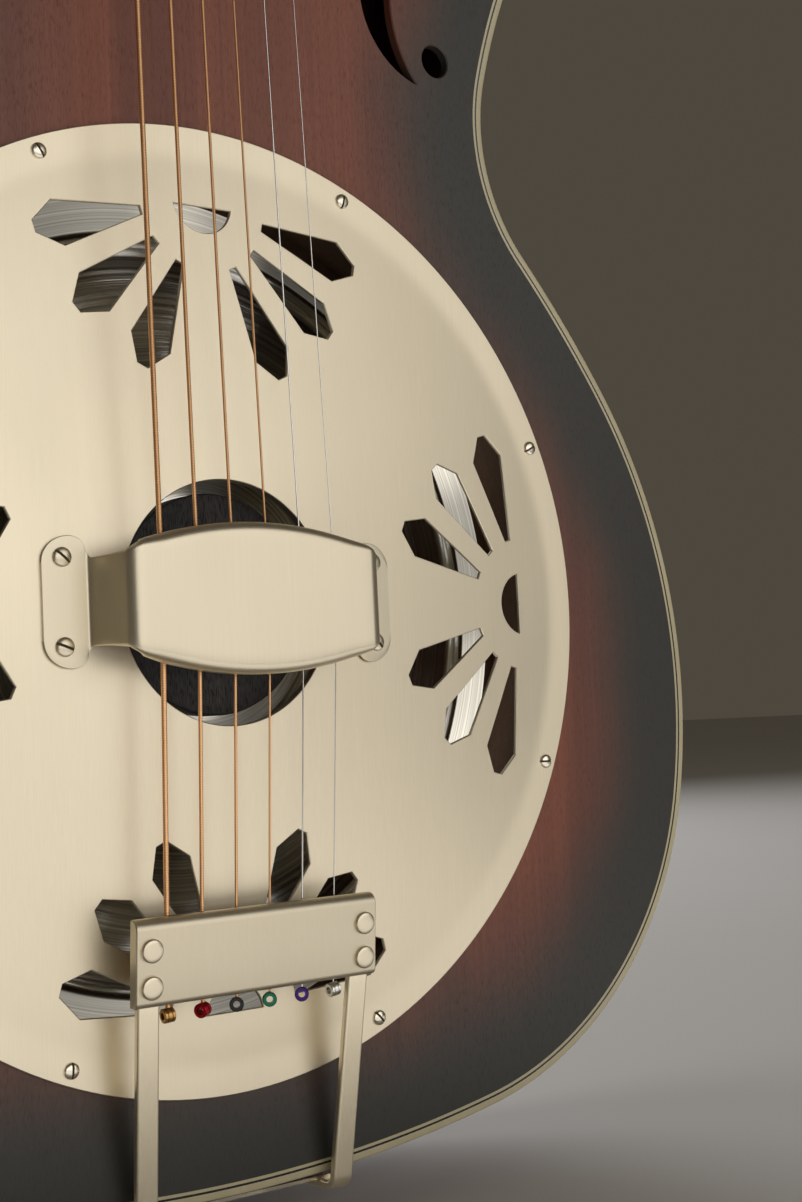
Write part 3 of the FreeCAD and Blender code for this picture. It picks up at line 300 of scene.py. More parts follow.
# tone, roughness, how fine the brushing is each way
NICKELS = {
    "nickel": (CHAMPAGNE, 0.42),
    # rest_nickel, tail_nickel and strap_nickel are the cover's champagne nickel made darker or lighter:
    # painted shade on the palm rest and tailpiece, painted light on the straps
    "rest_nickel": (shade(CHAMPAGNE, 0.87), 0.38, (2600, 2600, 30)),
    "tail_nickel": (shade(CHAMPAGNE, 0.80), 0.42, (2600, 2600, 30)),
    "strap_nickel": (shade(CHAMPAGNE, 1.15), 0.42, (2600, 2600, 30)),
    "screw_nickel": (shade(CHAMPAGNE, 0.9), 0.34, (2600, 2600, 300)),
}
LOOKS = {"cone_metal": spun_aluminium(), "bronze_wound": wound_wire()}
for make, family in ((grained_wood, WOODS), (plastic, PLASTICS), (polished_metal, METALS),
                     (brushed_nickel, NICKELS)):
    LOOKS.update({name: make(name, *values) for name, values in family.items()})
for part in frame["record"]["subparts"]:
    mesh = nodes[part["node"]].data
    mesh.materials.clear()
    mesh.materials.append(LOOKS[part["material_slot"]])


# ---- building blocks ----
def piece(name, bm, slot, replaced=(), body=ROOT, look=None, sharp=35.0):
    # takes a bench-frame bmesh to the row frame as a named piece that rides on a body
    bmesh.ops.remove_doubles(bm, verts=bm.verts, dist=0.0005)
    bmesh.ops.recalc_face_normals(bm, faces=bm.faces)
    bm.transform(BENCH)
    mesh = bpy.data.meshes.new(name)
    bm.to_mesh(mesh)
    bm.free()
    mesh.materials.append(look or LOOKS[slot])
    for polygon in mesh.polygons:
        polygon.use_smooth = True
    mesh.set_sharp_from_angle(angle=math.radians(sharp))
    made = bpy.data.objects.new(name, mesh)
    bpy.context.scene.collection.objects.link(made)
    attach(made, body)
    if replaced:
        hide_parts(*replaced)
    return made


def bevelled(made, width, segments=3, angle=35.0):
    modifier = made.modifiers.new("edges", "BEVEL")
    modifier.width = width / 1000
    modifier.segments = segments
    modifier.limit_method = "ANGLE"
    modifier.angle_limit = math.radians(angle)
    modifier.harden_normals = True
    return made


def turned_about_z(points, degrees):
    c, s = math.cos(math.radians(degrees)), math.sin(math.radians(degrees))
    return [(x * c - y * s, x * s + y * c) for x, y in points]


def circle(radius, steps, centre=(0.0, 0.0)):
    return [(centre[0] + radius * math.cos(2 * math.pi * k / steps),
             centre[1] + radius * math.sin(2 * math.pi * k / steps)) for k in range(steps)]


def lathe(bm, profile, steps, matrix=Matrix.Identity(4)):
    # profile is (radius, z) from one end to the other; a radius of 0 closes on the axis
    rings = []
    for radius, z in profile:
        if radius == 0:
            rings.append([bm.verts.new(matrix @ Vector((0, 0, z)))])
        else:
            rings.append([bm.verts.new(matrix @ Vector((x, y, z))) for x, y in circle(radius, steps)])
    for a, b in zip(rings, rings[1:]):
        for k in range(steps):
            corners = [a[k % len(a)], a[(k + 1) % len(a)], b[(k + 1) % len(b)], b[k % len(b)]]
            distinct = [v for n, v in enumerate(corners) if v not in corners[:n]]
            if len(distinct) > 2:
                bm.faces.new(distinct)


def tube(bm, path, radius, sides):
    # a round wire along a path of points, closed at both ends
    rings = []
    side = None
    for i, point in enumerate(path):
        along = (path[min(i + 1, len(path) - 1)] - path[max(i - 1, 0)]).normalized()
        if side is None:
            side = along.orthogonal().normalized()
        side = (side - along * side.dot(along)).normalized()
        up = along.cross(side)
        turns = [2 * math.pi * k / sides for k in range(sides)]
        rings.append([bm.verts.new(point + (side * math.cos(t) + up * math.sin(t)) * radius) for t in turns])
    for a, b in zip(rings, rings[1:]):
        for k in range(sides):
            bm.faces.new((a[k], a[(k + 1) % sides], b[(k + 1) % sides], b[k]))
    bm.faces.new(rings[0])
    bm.faces.new(rings[-1])


def rounded(points, radii, steps=6):
    # a closed polygon with each corner replaced by an arc of its own radius
    result = []
    for i, (point, radius) in enumerate(zip(points, radii)):
        here = Vector(point)
        back = (Vector(points[i - 1]) - here).normalized()
        on = (Vector(points[(i + 1) % len(points)]) - here).normalized()
        if radius <= 0:
            result.append(tuple(here))
            continue
        half = back.angle(on) / 2
        reach = radius / math.tan(half)
        centre = here + (back + on).normalized() * (radius / math.sin(half))
        a, b = here + back * reach - centre, here + on * reach - centre
        sweep = a.angle_signed(b)
        for k in range(steps + 1):
            t = -sweep * k / steps
            result.append((centre.x + a.x * math.cos(t) - a.y * math.sin(t),
                           centre.y + a.x * math.sin(t) + a.y * math.cos(t)))
    return result


def extruded(bm, profile, width, matrix):
    # a closed (y, z) profile carried along x
    ends = [[bm.verts.new(matrix @ Vector((x, y, z))) for y, z in profile] for x in (-width / 2, width / 2)]
    count = len(profile)
    for k in range(count):
        bm.faces.new((ends[0][k], ends[0][(k + 1) % count], ends[1][(k + 1) % count], ends[1][k]))
    bm.faces.new(ends[0])
    bm.faces.new(ends[1][::-1])


def clockwise(loop):
    area = sum(x0 * y1 - x1 * y0 for (x0, y0), (x1, y1) in zip(loop, loop[1:] + loop[:1]))
    return loop[::-1] if area > 0 else loop


def inside(points, loop):
    # which of the points lie inside a closed loop
    hits = [False] * len(points)
    for (x0, y0), (x1, y1) in zip(loop, loop[1:] + loop[:1]):
        low, high = min(y0, y1), max(y0, y1)
        if low == high:
            continue
        slope = (x1 - x0) / (y1 - y0)
        for i, (x, y) in enumerate(points):
            if low <= y < high and x < x0 + (y - y0) * slope:
                hits[i] = not hits[i]
    return hits


def moved_in(loop, amount):
    # each corner of a loop moved to its left by an amount, square to the loop
    result = []
    for i, (x, y) in enumerate(loop):
        before = (Vector((x, y)) - Vector(loop[i - 1])).normalized()
        after = (Vector(loop[(i + 1) % len(loop)]) - Vector((x, y))).normalized()
        normal = Vector((-before.y - after.y, before.x + after.x)).normalized()
        stretch = max(0.5, normal.dot(Vector((-after.y, after.x))))
        result.append((x + normal.x * amount / stretch, y + normal.y * amount / stretch))
    return result


def sheet_with_holes(outer, holes, inner_points, top, thickness, chamfer):
    # A flat or domed sheet. outer runs anticlockwise and the holes clockwise, so that
    # the material is always on a loop's left.
    bm = bmesh.new()
    loops = [outer] + holes
    shrunk = [moved_in(loop, chamfer) for loop in loops]
    boxes = []
    for loop in shrunk:
        xs, ys = [x for x, _ in loop], [y for _, y in loop]
        boxes.append((min(xs), max(xs), min(ys), max(ys)))

    def outside_holes(points):
        # which points lie in the sheet itself
        kept = []
        for loop, (x0, x1, y0, y1) in zip(shrunk, boxes):
            near = [i for i, (x, y) in enumerate(points) if x0 <= x <= x1 and y0 <= y <= y1]
            hits = inside([points[i] for i in near], loop)
            kept.append({i for i, hit in zip(near, hits) if hit})
        return [i for i in sorted(kept[0]) if not any(i in group for group in kept[1:])]

    inner_points = [inner_points[i] for i in outside_holes(inner_points)]
    points, edges, starts = [], [], []
    for loop in shrunk:
        starts.append(len(points))
        edges += [(len(points) + k, len(points) + (k + 1) % len(loop)) for k in range(len(loop))]
        points += loop
    rim = len(points)
    points += inner_points
    made = delaunay_2d_cdt([Vector(p) for p in points], edges, [], 0, 0.0001)
    flat, faces, origins = made[0], made[2], made[3]
    centres = [(sum(flat[v].x for v in f) / 3, sum(flat[v].y for v in f) / 3) for f in faces]
    kept = outside_holes(centres)
    of_input = {source: n for n, sources in enumerate(origins) for source in sources if source < rim}
    upper = [bm.verts.new((p.x, p.y, top(p.x, p.y))) for p in flat]
    lower = [bm.verts.new((p.x, p.y, top(p.x, p.y) - thickness)) for p in flat]
    for n in kept:
        bm.faces.new([upper[v] for v in faces[n]])
        bm.faces.new([lower[v] for v in faces[n]][::-1])
    for start, loop, real in zip(starts, shrunk, loops):
        count = len(loop)
        wall = [bm.verts.new((x, y, top(x, y) - chamfer)) for x, y in real]
        foot = [bm.verts.new((x, y, top(x, y) - thickness)) for x, y in real]
        brim = [upper[of_input[start + k]] for k in range(count)]
        heel = [lower[of_input[start + k]] for k in range(count)]
        for k in range(count):
            j = (k + 1) % count
            bm.faces.new((brim[k], wall[k], wall[j], brim[j]))
            bm.faces.new((wall[k], foot[k], foot[j], wall[j]))
            bm.faces.new((foot[k], heel[k], heel[j], foot[j]))
    loose = [v for v in bm.verts if not v.link_faces]
    bmesh.ops.delete(bm, geom=loose, context="VERTS")
    return bm


def hex_grid(step, x_reach, y_low, y_high):
    # points in rows, every other row shifted by half a step
    points = []
    row = 0
    y = y_low
    while y < y_high:
        x = -x_reach + (step / 2 if row % 2 else 0.0)
        while x < x_reach:
            points.append((x, y))
            x += step
        y += step * 0.866
        row += 1
    return points


# ---- body ----
TAIL_Y = -156.4
# radius and turn in degrees of the arcs of the body's half outline, from the tail on
OUTLINE = ((469.0, 11.1), (109.6, 67.6), (171.8, 45.1), (372.5, 8.0),
           (-57.5, 56.6), (-200.0, 10.2), (86.0, 115.0))
BINDING_W = 2.2
BINDING_H = 5.0
BODY_DEPTH = 86.0
PLATE_T = 3.0
WELL_R = 122.0


def outline(inset, step=2.0):
    # arcs that run on smoothly from the tail round the treble side, and their mirror
    x, y, heading = 0.0, TAIL_Y + inset, 0.0
    half = [(x, y)]
    for radius, turn in OUTLINE:
        r = radius - inset
        sweep = math.radians(turn) * (1 if radius > 0 else -1)
        cx, cy = x - r * math.sin(heading), y + r * math.cos(heading)
        count = max(4, round(abs(radius * sweep) / step))
        for k in range(1, count + 1):
            a = heading + sweep * k / count
            half.append((cx + r * math.sin(a), cy - r * math.cos(a)))
        x, y = half[-1]
        heading += sweep
    left = [(-px, py) for px, py in half[::-1] if abs(px) > 0.001]
    return half + left


def outline_band(bm, profile):
    # a closed (inset, z) profile carried round the body's outline
    rings = [[bm.verts.new((x, y, z)) for x, y in outline(inset)] for inset, z in profile]
    count = len(rings[0])
    for a, b in zip(rings, rings[1:] + rings[:1]):
        for k in range(count):
            j = (k + 1) % count
            bm.faces.new((a[k], a[j], b[j], b[k]))


def arc_through(a, b, c, steps):
    # points from a towards c on the circle through a, b and c; c itself is left out
    (ax, ay), (bx, by), (cx, cy) = a, b, c
    d = 2 * (ax * (by - cy) + bx * (cy - ay) + cx * (ay - by))
    aa, bb, cc = ax * ax + ay * ay, bx * bx + by * by, cx * cx + cy * cy
    ux = (aa * (by - cy) + bb * (cy - ay) + cc * (ay - by)) / d
    uy = (aa * (cx - bx) + bb * (ax - cx) + cc * (bx - ax)) / d
    r = math.hypot(ax - ux, ay - uy)
    start, mid, end = (math.atan2(q[1] - uy, q[0] - ux) for q in (a, b, c))
    sweep = (end - start) % (2 * math.pi)
    if (mid - start) % (2 * math.pi) > sweep:
        sweep -= 2 * math.pi
    return [(ux + r * math.cos(start + sweep * k / steps), uy + r * math.sin(start + sweep * k / steps))
            for k in range(steps)]


def sound_holes():
    # the treble side's curved slot and its two dots, and their mirror
    tip, centre = (79.3, 156.9), (64.0, 206.0)
    inner, outer = ((66.0, 165.0), (59.5, 181.0)), ((72.8, 168.0), (70.5, 181.0))
    dot, dot_r = (86.9, 165.3), 4.9

    def opposite(p):
        return (2 * centre[0] - p[0], 2 * centre[1] - p[1])

    half = arc_through(tip, inner[0], inner[1], 24)
    back = arc_through(opposite(outer[1]), opposite(outer[0]), opposite(tip), 24)
    first = half + [inner[1]] + back
    stem = first + [opposite(p) for p in first]
    dots = [circle(dot_r, 48, dot)[::-1], circle(dot_r, 48, opposite(dot))[::-1]]
    loops = [clockwise(stem)] + dots
    return loops + [[(-x, y) for x, y in loop[::-1]] for loop in loops]


def build_body():
    rim = outline(BINDING_W)
    grid = hex_grid(5.0, 182.0, TAIL_Y, 320.0)
    holes = [circle(WELL_R, 120)[::-1]] + sound_holes()
    bm = sheet_with_holes(rim, holes, grid, lambda x, y: 0.0, PLATE_T, 0.35)
    edge = [Vector((x, y, 0)) for x, y in outline(0.0, 1.0)]
    tree = kdtree.KDTree(len(edge))
    for n, point in enumerate(edge):
        tree.insert(point, n)
    tree.balance()
    made = piece("soundboard", bm, "burst_wood", ("body_top",))
    layer = made.data.attributes.new("from_edge", "FLOAT", "POINT")
    back = BENCH.inverted()
    for vertex in made.data.vertices:
        spot = back @ vertex.co
        layer.data[vertex.index].value = tree.find((spot.x, spot.y, 0))[2]

    top, r = 0.03, 0.7
    round_over = [(r - r * math.sin(a), r - r * math.cos(a)) for a in (0, 0.4, 0.8, 1.2, math.pi / 2)]
    for name, base, sign, node in (("top_edging", 0.0, 1, "top_binding"),
                                   ("back_edging", -BODY_DEPTH, -1, "back_binding")):
        bm = bmesh.new()
        profile = [(inset, base + sign * (top - drop)) for inset, drop in round_over]
        profile = [(BINDING_W - 0.05, base + sign * top)] + profile
        profile += [(0.0, base - sign * BINDING_H), (BINDING_W - 0.05, base - sign * BINDING_H)]
        outline_band(bm, profile)
        piece(name, bm, "cream_binding", (node,))
    deep = 0.3
    for name, start, end, slot in (("purfling_dark", 2.15, 2.75, "black_plastic"),
                                   ("purfling_light", 2.75, 3.55, "cream_binding")):
        bm = bmesh.new()
        outline_band(bm, [(start, top), (start, -deep), (end, -deep), (end, top)])
        piece(name, bm, slot)


# ---- cone, biscuit and cover ----
CONE_Z = -6.5
COVER_R = 130.0
COVER_T = 1.0
COVER_CREASE_R = 121.5
COVER_HOLE_R = 32.8
COVER_HOLE_Z = 7.2


def cover_line(r):
    # the cover's height: flat outside the crease, a cone inside it
    return COVER_T + max(0.0, COVER_CREASE_R - r) * (COVER_HOLE_Z - COVER_T) / (COVER_CREASE_R - COVER_HOLE_R)


def cover_top(x, y):
    # the same with the crease rounded over
    r = math.hypot(x, y)
    return sum(cover_line(r + shift) for shift in (-1.6, -0.8, 0.0, 0.8, 1.6)) / 5


def fan_loops():
    # four fans, each of six pointed holes round a half disc
    fan_r, step = 110.0, 25.0
    loops = []
    for quarter in range(4):
        for k in (-3, -2, -1, 1, 2, 3):
            # one side of the hole: how far out from the fan's middle, and its half width
            side = [(20.0, 1.2), (45.5, 6.1), (52.5, 1.6)]
            ring = side + [(d, -h) for d, h in side[::-1]]
            fine = []
            for (ax, ay), (bx, by) in zip(ring, ring[1:] + ring[:1]):
                count = max(1, round(math.hypot(bx - ax, by - ay) / 4))
                fine += [(ax + (bx - ax) * n / count, ay + (by - ay) * n / count) for n in range(count)]
            petal = [(x + fan_r, y) for x, y in turned_about_z(fine, 180 + k * step)]
            loops.append(turned_about_z(petal, 90 * quarter))
        flat, chord, depth = 108.2, 9.1, 7.4
        bow = arc_through((flat, chord), (flat - depth, 0.0), (flat, -chord), 20) + [(flat, -chord)]
        loops.append(turned_about_z(bow, 90 * quarter))
    return [clockwise(loop) for loop in loops]


def build_cover():
    # rings of points, close together where the crease bends
    radii = [36, *range(40, 101, 5), 104, 108, 112, 115, 117.5, 119, 119.9, 120.7, 121.5, 122.3, 123.1, 124,
             126, 128]
    rings = [point for r in radii for point in circle(r, max(60, int(r * 1.7)))]
    holes = [circle(COVER_HOLE_R, 120)[::-1]] + fan_loops()
    bm = sheet_with_holes(circle(COVER_R, 240), holes, rings, cover_top, COVER_T, 0.22)
    piece("cover", bm, "nickel", ("cover_plate",), sharp=30)

    bm = bmesh.new()
    high, foot = cover_top(COVER_HOLE_R + 1, 0), 4.6
    section = [(1.0, high - 0.9), (0.98, high - 0.05), (0.6, high - 0.06), (0.22, high - 0.3),
               (0.0, high - 0.8), (0.0, foot), (1.0, foot), (1.0, high - 0.9)]
    lathe(bm, [(COVER_HOLE_R + out, z) for out, z in section], 120)
    piece("cover_hole_lip", bm, "nickel")


def build_cone():
    foot, thick, hole_r = -25.2, 0.8, 1.6
    # the slope's two ends as (radius, height), and the fine grooves spun into it
    slope_out, slope_in = (101.0, foot + 1.6), (33.0, CONE_Z - 0.6)
    count, groove = 34, 0.12
    slope = [slope_out]
    for n in range(1, count):
        part = n / count
        r = slope_out[0] + (slope_in[0] - slope_out[0]) * part
        z = slope_out[1] + (slope_in[1] - slope_out[1]) * part
        slope.append((r, z + (groove if n % 2 else -groove)))
    upper = [(118.0, foot), (108.5, foot), (107.4, foot + 0.6), (106.4, foot + 2.4), (105.4, foot + 3.0),
             (104.0, foot + 3.0), (102.6, foot + 2.4)]
    upper += slope + [slope_in, (32.2, CONE_Z - 0.1), (31.0, CONE_Z)]
    under = [(r, z - thick) for r, z in upper] + [(hole_r, CONE_Z - thick)]
    bm = bmesh.new()
    lathe(bm, [(hole_r, CONE_Z)] + upper[::-1] + under + [(hole_r, CONE_Z)], 180)
    piece("spun_cone", bm, "cone_metal", ("resonator_cone",), sharp=60)

    seat = CONE_Z + 0.02
    bm = bmesh.new()
    lathe(bm, [(0, seat), (30.0, seat), (30.0, -0.9), (29.8, -0.3), (29.2, 0.0), (0, 0.0)], 120)
    piece("biscuit_disc", bm, "biscuit_wood", ("biscuit",))


# ---- palm rest ----
REST_TOP = 24.0
REST_T = 0.8
REST_SCREW = (48.9, 11.3)


def rest_foot_z(x):
    return cover_line(x) + REST_T + 0.03


def cap_half(x):
    # half the cap's width, widest in the middle
    return 19.9 - 6.5 * (x / 38.5) ** 2


def rest_rows():
    # half of the pressed strip as rows across it, from the middle of the cap over the bend,
    # down the leg and round the fold to the foot: x, z, the way it heads, its half width,
    # the radius of its rolled edge and how deep that edge goes
    lean, bend, fold = math.radians(80.0), 4.2, 0.9
    bend_x, foot_in, foot_out, waist = 35.0, 42.6, 54.4, 11.2
    foot_z = rest_foot_z(foot_in)
    low_x, low_z = bend_x + bend * math.sin(lean), REST_TOP - bend * (1 - math.cos(lean))
    fold_x, fold_z = foot_in - fold * math.sin(lean), foot_z + fold * (1 - math.cos(lean))
    steps, leg_steps, fold_steps, foot_steps = 14, 8, 7, 26

    def edge(x):
        fade = max(0.0, (x - 29.0) / 12.0)
        return 2.9 - 1.9 * fade, 4.4 - 3.0 * fade

    rows = []
    for n in range(steps + 1):
        x = bend_x * n / steps
        rows.append((x, REST_TOP, 0.0, cap_half(x), *edge(x)))
    for n in range(1, steps + 1):
        a = lean * n / steps
        x = bend_x + bend * math.sin(a)
        z = REST_TOP - bend * (1 - math.cos(a))
        rows.append((x, z, a, cap_half(x) - (n / steps) ** 2, *edge(x)))
    end_half = rows[-1][3]
    for n in range(1, leg_steps + 1):
        part = n / leg_steps
        half = waist + (end_half - waist) * (1 - part) ** 2
        rows.append((low_x + (fold_x - low_x) * part, low_z + (fold_z - low_z) * part, lean, half,
                     1.1 - 0.85 * part, 1.4 - 1.0 * part))
    for n in range(1, fold_steps + 1):
        part = n / fold_steps
        a = lean * (1 - part)
        rows.append((foot_in - fold * math.sin(a), foot_z + fold * (1 - math.cos(a)), a,
                     waist + 2.3 * part ** 1.5, 0.25, 0.4))
    # the foot's ends are round: tight next to the fold, wider on the far side
    middle, foot_half = 46.9, 16.8
    for n in range(1, foot_steps + 1):
        part = n / foot_steps
        x = foot_in + (foot_out - foot_in) * (part - 0.12 * math.sin(2 * math.pi * part))
        if x < middle:
            across, turn = (middle - x) / (middle - foot_in), 3.3
        else:
            across, turn = (x - middle) / (foot_out - middle), 6.8
        half = foot_half - turn + turn * math.sqrt(max(0.0, 1 - across ** 2))
        rows.append((x, rest_foot_z(x), 0.0, half, 0.2, 0.3))
    return rows


def build_palm_rest():
    bm = bmesh.new()
    flat_columns, roll_columns = 8, 7
    for mirror in (1, -1):
        grid = []
        for x, z, heading, half, roll, deep in rest_rows():
            inward = Vector((-math.sin(heading), 0, -math.cos(heading)))
            middle = Vector((x, 0, z))
            # from the middle to one side, as (way across, way down): flat, then the rolled edge
            across = [((half - roll) * n / flat_columns, 0.0) for n in range(flat_columns + 1)]
            for n in range(1, roll_columns + 1):
                a = math.pi / 2 * n / roll_columns
                across.append((half - roll + roll * math.sin(a), roll * (1 - math.cos(a))))
            across.append((half, deep))
            line = []
            for side in (-1, 1):
                ordered = across[::-1] if side < 0 else across[1:]
                for y, sink in ordered:
                    p = middle + inward * sink + Vector((0, side * y, 0))
                    line.append(bm.verts.new((p.x * mirror, p.y, p.z)))
            grid.append(line)
        for a, b in zip(grid, grid[1:]):
            for k in range(len(a) - 1):
                bm.faces.new((a[k], a[k + 1], b[k + 1], b[k]))
    bmesh.ops.remove_doubles(bm, verts=bm.verts, dist=0.001)
    made = piece("pressed_palm_rest", bm, "nickel", ("palm_rest",), look=LOOKS["rest_nickel"], sharp=60)
    thick = made.modifiers.new("thickness", "SOLIDIFY")
    thick.thickness = REST_T / 1000
    thick.offset = -1.0
    bevelled(made, 0.25, 2, 50)


# ---- screws and rivets ----
def screw_heads(name, spots, radius, height, slot, node, look="screw_metal"):
    # slotted domes on short walls; each spot is (place, direction out of the head, turn of
    # the slot), and slot is (half its width, its depth)
    bm, floors = bmesh.new(), bmesh.new()
    steps, side_wall = 16, 0.3 * height
    half, deep = slot
    for place, out, turn in spots:
        matrix = Matrix.Translation(place) @ Vector(out).to_track_quat("Z", "Y").to_matrix().to_4x4()
        matrix = matrix @ Matrix.Rotation(math.radians(turn), 4, "Z")
        profile = [(radius, 0.0)]
        for n in range(9):
            a = math.pi / 2 * n / 8
            profile.append((radius * math.cos(a), side_wall + (height - side_wall) * math.sin(a)))
        for side in (-1, 1):
            # each half of the dome on its own side of the slot
            rings = []
            for n, (r, z) in enumerate(profile):
                ring = []
                for k in range(steps + 1):
                    t = math.pi * k / steps
                    y = max(half, r * math.sin(t)) if n < len(profile) - 1 else half
                    ring.append(bm.verts.new(matrix @ Vector((r * math.cos(t), side * y, z))))
                rings.append(ring)
            for a, b in zip(rings, rings[1:]):
                for k in range(steps):
                    bm.faces.new((a[k], a[k + 1], b[k + 1], b[k]))
            bm.faces.new([ring[0] for ring in rings] + [ring[-1] for ring in rings[-2::-1]])
        # each slot's floor is a flat quad in a dark painted shade, made as its own piece
        reach = radius * 0.97
        corners = [matrix @ Vector((sx * reach, sy * half * 1.05, height - deep))
                   for sx, sy in ((-1, -1), (1, -1), (1, 1), (-1, 1))]
        floors.faces.new([floors.verts.new(c) for c in corners])
    piece(name.replace("heads", "slots"), floors, "screw_metal", look=LOOKS["slot_dark"])
    piece(name, bm, "screw_metal", (node,), look=LOOKS[look], sharp=40)


def build_screws():
    out, circle_r = (0, 0, 1), 126.1
    spots = []
    for n in range(8):
        a = math.radians(22.5 + 45 * n)
        spots.append(((circle_r * math.cos(a), circle_r * math.sin(a), COVER_T), out, 30 + 47 * n))
    # the cover's screws take screw_bright, screw_metal painted lighter as painted light
    screw_heads("cover_screw_heads", spots, 2.1, 1.15, (0.30, 0.80), "cover_screws", "screw_bright")
    turns = {(-1, 1): 140, (-1, -1): 160, (1, 1): 75, (1, -1): 135}
    x, y = REST_SCREW
    spots = [((sx * x, sy * y, rest_foot_z(x)), out, turn) for (sx, sy), turn in turns.items()]
    screw_heads("palm_rest_screw_heads", spots, 2.5, 1.2, (0.36, 0.80), "palm_rest_screws", "screw_nickel")
    bracket = ((-22, -10), (22, -10), (0, -21))
    spots = [((x, -159.0, z), (0, -1, 0), 40 * n) for n, (x, z) in enumerate(bracket)]
    screw_heads("bracket_screw_heads", spots, 2.6, 1.4, (0.3, 0.8), "tailpiece_screws")


# ---- tailpiece ----
TAIL_FRONT = (-79.7, 17.0)
TAIL_REAR = (-101.8, 15.2)
TAIL_T = 1.6
TAIL_LIP = 3.6
TAIL_HALF_W = 37.2
RIVET_X = 33.0
RIVET_Y = (-87.6, -96.8)


def plate_height(y):
    (fy, fz), (ry, rz) = TAIL_FRONT, TAIL_REAR
    return fz + (y - fy) * (fz - rz) / (fy - ry)


def build_tail_plate():
    # a shallow open box: an outer shell, an inner one, and the rim between them
    (fy, fz), (ry, rz) = TAIL_FRONT, TAIL_REAR
    inner_front, inner_rear, end_t = fy - TAIL_T, ry + TAIL_T, 0.9
    outer = rounded([(fy, fz - TAIL_LIP), (fy, fz), (ry, rz), (ry, rz - TAIL_LIP)], [0, 2.8, 1.6, 0])
    inner = [(inner_front, fz - TAIL_LIP), (inner_front, plate_height(inner_front) - TAIL_T),
             (inner_rear, plate_height(inner_rear) - TAIL_T), (inner_rear, rz - TAIL_LIP)]
    bm = bmesh.new()
    shells = []
    for chain, reach in ((outer, TAIL_HALF_W), (inner, TAIL_HALF_W - end_t)):
        ends = [[bm.verts.new((x, y, z)) for y, z in chain] for x in (-reach, reach)]
        for k in range(len(chain) - 1):
            bm.faces.new((ends[0][k], ends[0][k + 1], ends[1][k + 1], ends[1][k]))
        for end in ends:
            bm.faces.new(end)
        shells.append([ends[0][0], ends[0][-1], ends[1][-1], ends[1][0]])
    for k in range(4):
        j = (k + 1) % 4
        bm.faces.new((shells[0][k], shells[0][j], shells[1][j], shells[1][k]))
    made = piece("tailpiece_cover", bm, "nickel", ("tailpiece_plate",), look=LOOKS["tail_nickel"], sharp=30)
    bevelled(made, 0.55)


def build_tail_rivets():
    (fy, fz), (ry, rz) = TAIL_FRONT, TAIL_REAR
    lean = math.atan((fz - rz) / (fy - ry))
    head = [(2.6, -0.2), (3.0, 0.0), (3.0, 0.7), (2.9, 0.92), (2.65, 1.06), (1.8, 1.16), (0.9, 1.2),
            (0, 1.21)]
    shank = [(0, -4.9), (2.3, -4.9), (2.3, -4.05), (1.4, -4.0), (1.4, -0.2), (0, -0.2)]
    bm = bmesh.new()
    for x in (-RIVET_X, RIVET_X):
        for y in RIVET_Y:
            matrix = Matrix.Translation((x, y, plate_height(y))) @ Matrix.Rotation(lean, 4, "X")
            lathe(bm, head, 40, matrix)
            lathe(bm, shank, 24, matrix)
    look = LOOKS["screw_nickel"]
    piece("tailpiece_rivet_heads", bm, "screw_metal", ("tailpiece_rivets",), look=look, sharp=50)


def build_straps():
    # each runs under the plate, over the cover's rim and round the body's end
    thick, width, bend, splay = 2.4, 6.3, 4.5, 2.2
    start_y, middle_y = -83.5, -92.0
    edge_y, edge_z, end_z = TAIL_Y + 0.7, 5.4, -28.0
    top = TAIL_T + 0.03
    path = [(start_y, plate_height(start_y) - top), (-101.5, plate_height(-101.5) - top), (-104.0, 13.2),
            (edge_y, edge_z)]
    for n in range(1, 11):
        a = math.pi / 2 * n / 10
        path.append((edge_y - bend * math.sin(a), edge_z - bend * (1 - math.cos(a))))
    path.append((edge_y - bend, end_z))
    points = [Vector(p) for p in path]
    under = []
    for n, p in enumerate(points):
        along = (points[min(n + 1, len(points) - 1)] - points[max(n - 1, 0)]).normalized()
        under.append(p + Vector((-along.y, along.x)) * thick)
    section = [tuple(p) for p in points] + [tuple(p) for p in under[::-1]]
    for name, side in (("treble_strap", 1), ("bass_strap", -1)):
        angle = math.radians(-side * splay)
        turn = (Matrix.Translation((side * RIVET_X, middle_y, 0)) @ Matrix.Rotation(angle, 4, "Z")
                @ Matrix.Translation((0, -middle_y, 0)))
        bm = bmesh.new()
        extruded(bm, section, width, turn)
        made = piece(name, bm, "nickel_polished", ("tailpiece_straps",), look=LOOKS["strap_nickel"], sharp=30)
        bevelled(made, 0.8, 4)


# ---- strings ----
STRING_D = (1.42, 1.07, 0.81, 0.61, 0.41, 0.30)
END_SPREAD, SADDLE_SPREAD, NUT_SPREAD = 51.6, 54.3, 38.0
POST_Y = (38.0, 76.0, 114.0)
POST_SPOTS = [(-24.0, y) for y in POST_Y] + [(24.0, y) for y in POST_Y[::-1]]
POST_R = 3.0
WRAP_Z = 6.4
# the neck leans back about its joint with the body, and the head leans back from the nut
NECK_LEAN, HEAD_LEAN = 1.263, 13.0
NECK_JOINT = Vector((0, 317.5, 6.0))
NECK_TILT = (Matrix.Translation(NECK_JOINT) @ Matrix.Rotation(math.radians(-NECK_LEAN), 4, "X")
             @ Matrix.Translation(-NECK_JOINT))
HEAD = NECK_TILT @ Matrix.Translation((0, 640.0, -6.0)) @ Matrix.Rotation(math.radians(-HEAD_LEAN), 4, "X")


def string_x(k, spread):
    return (k - 2.5) * spread / 5


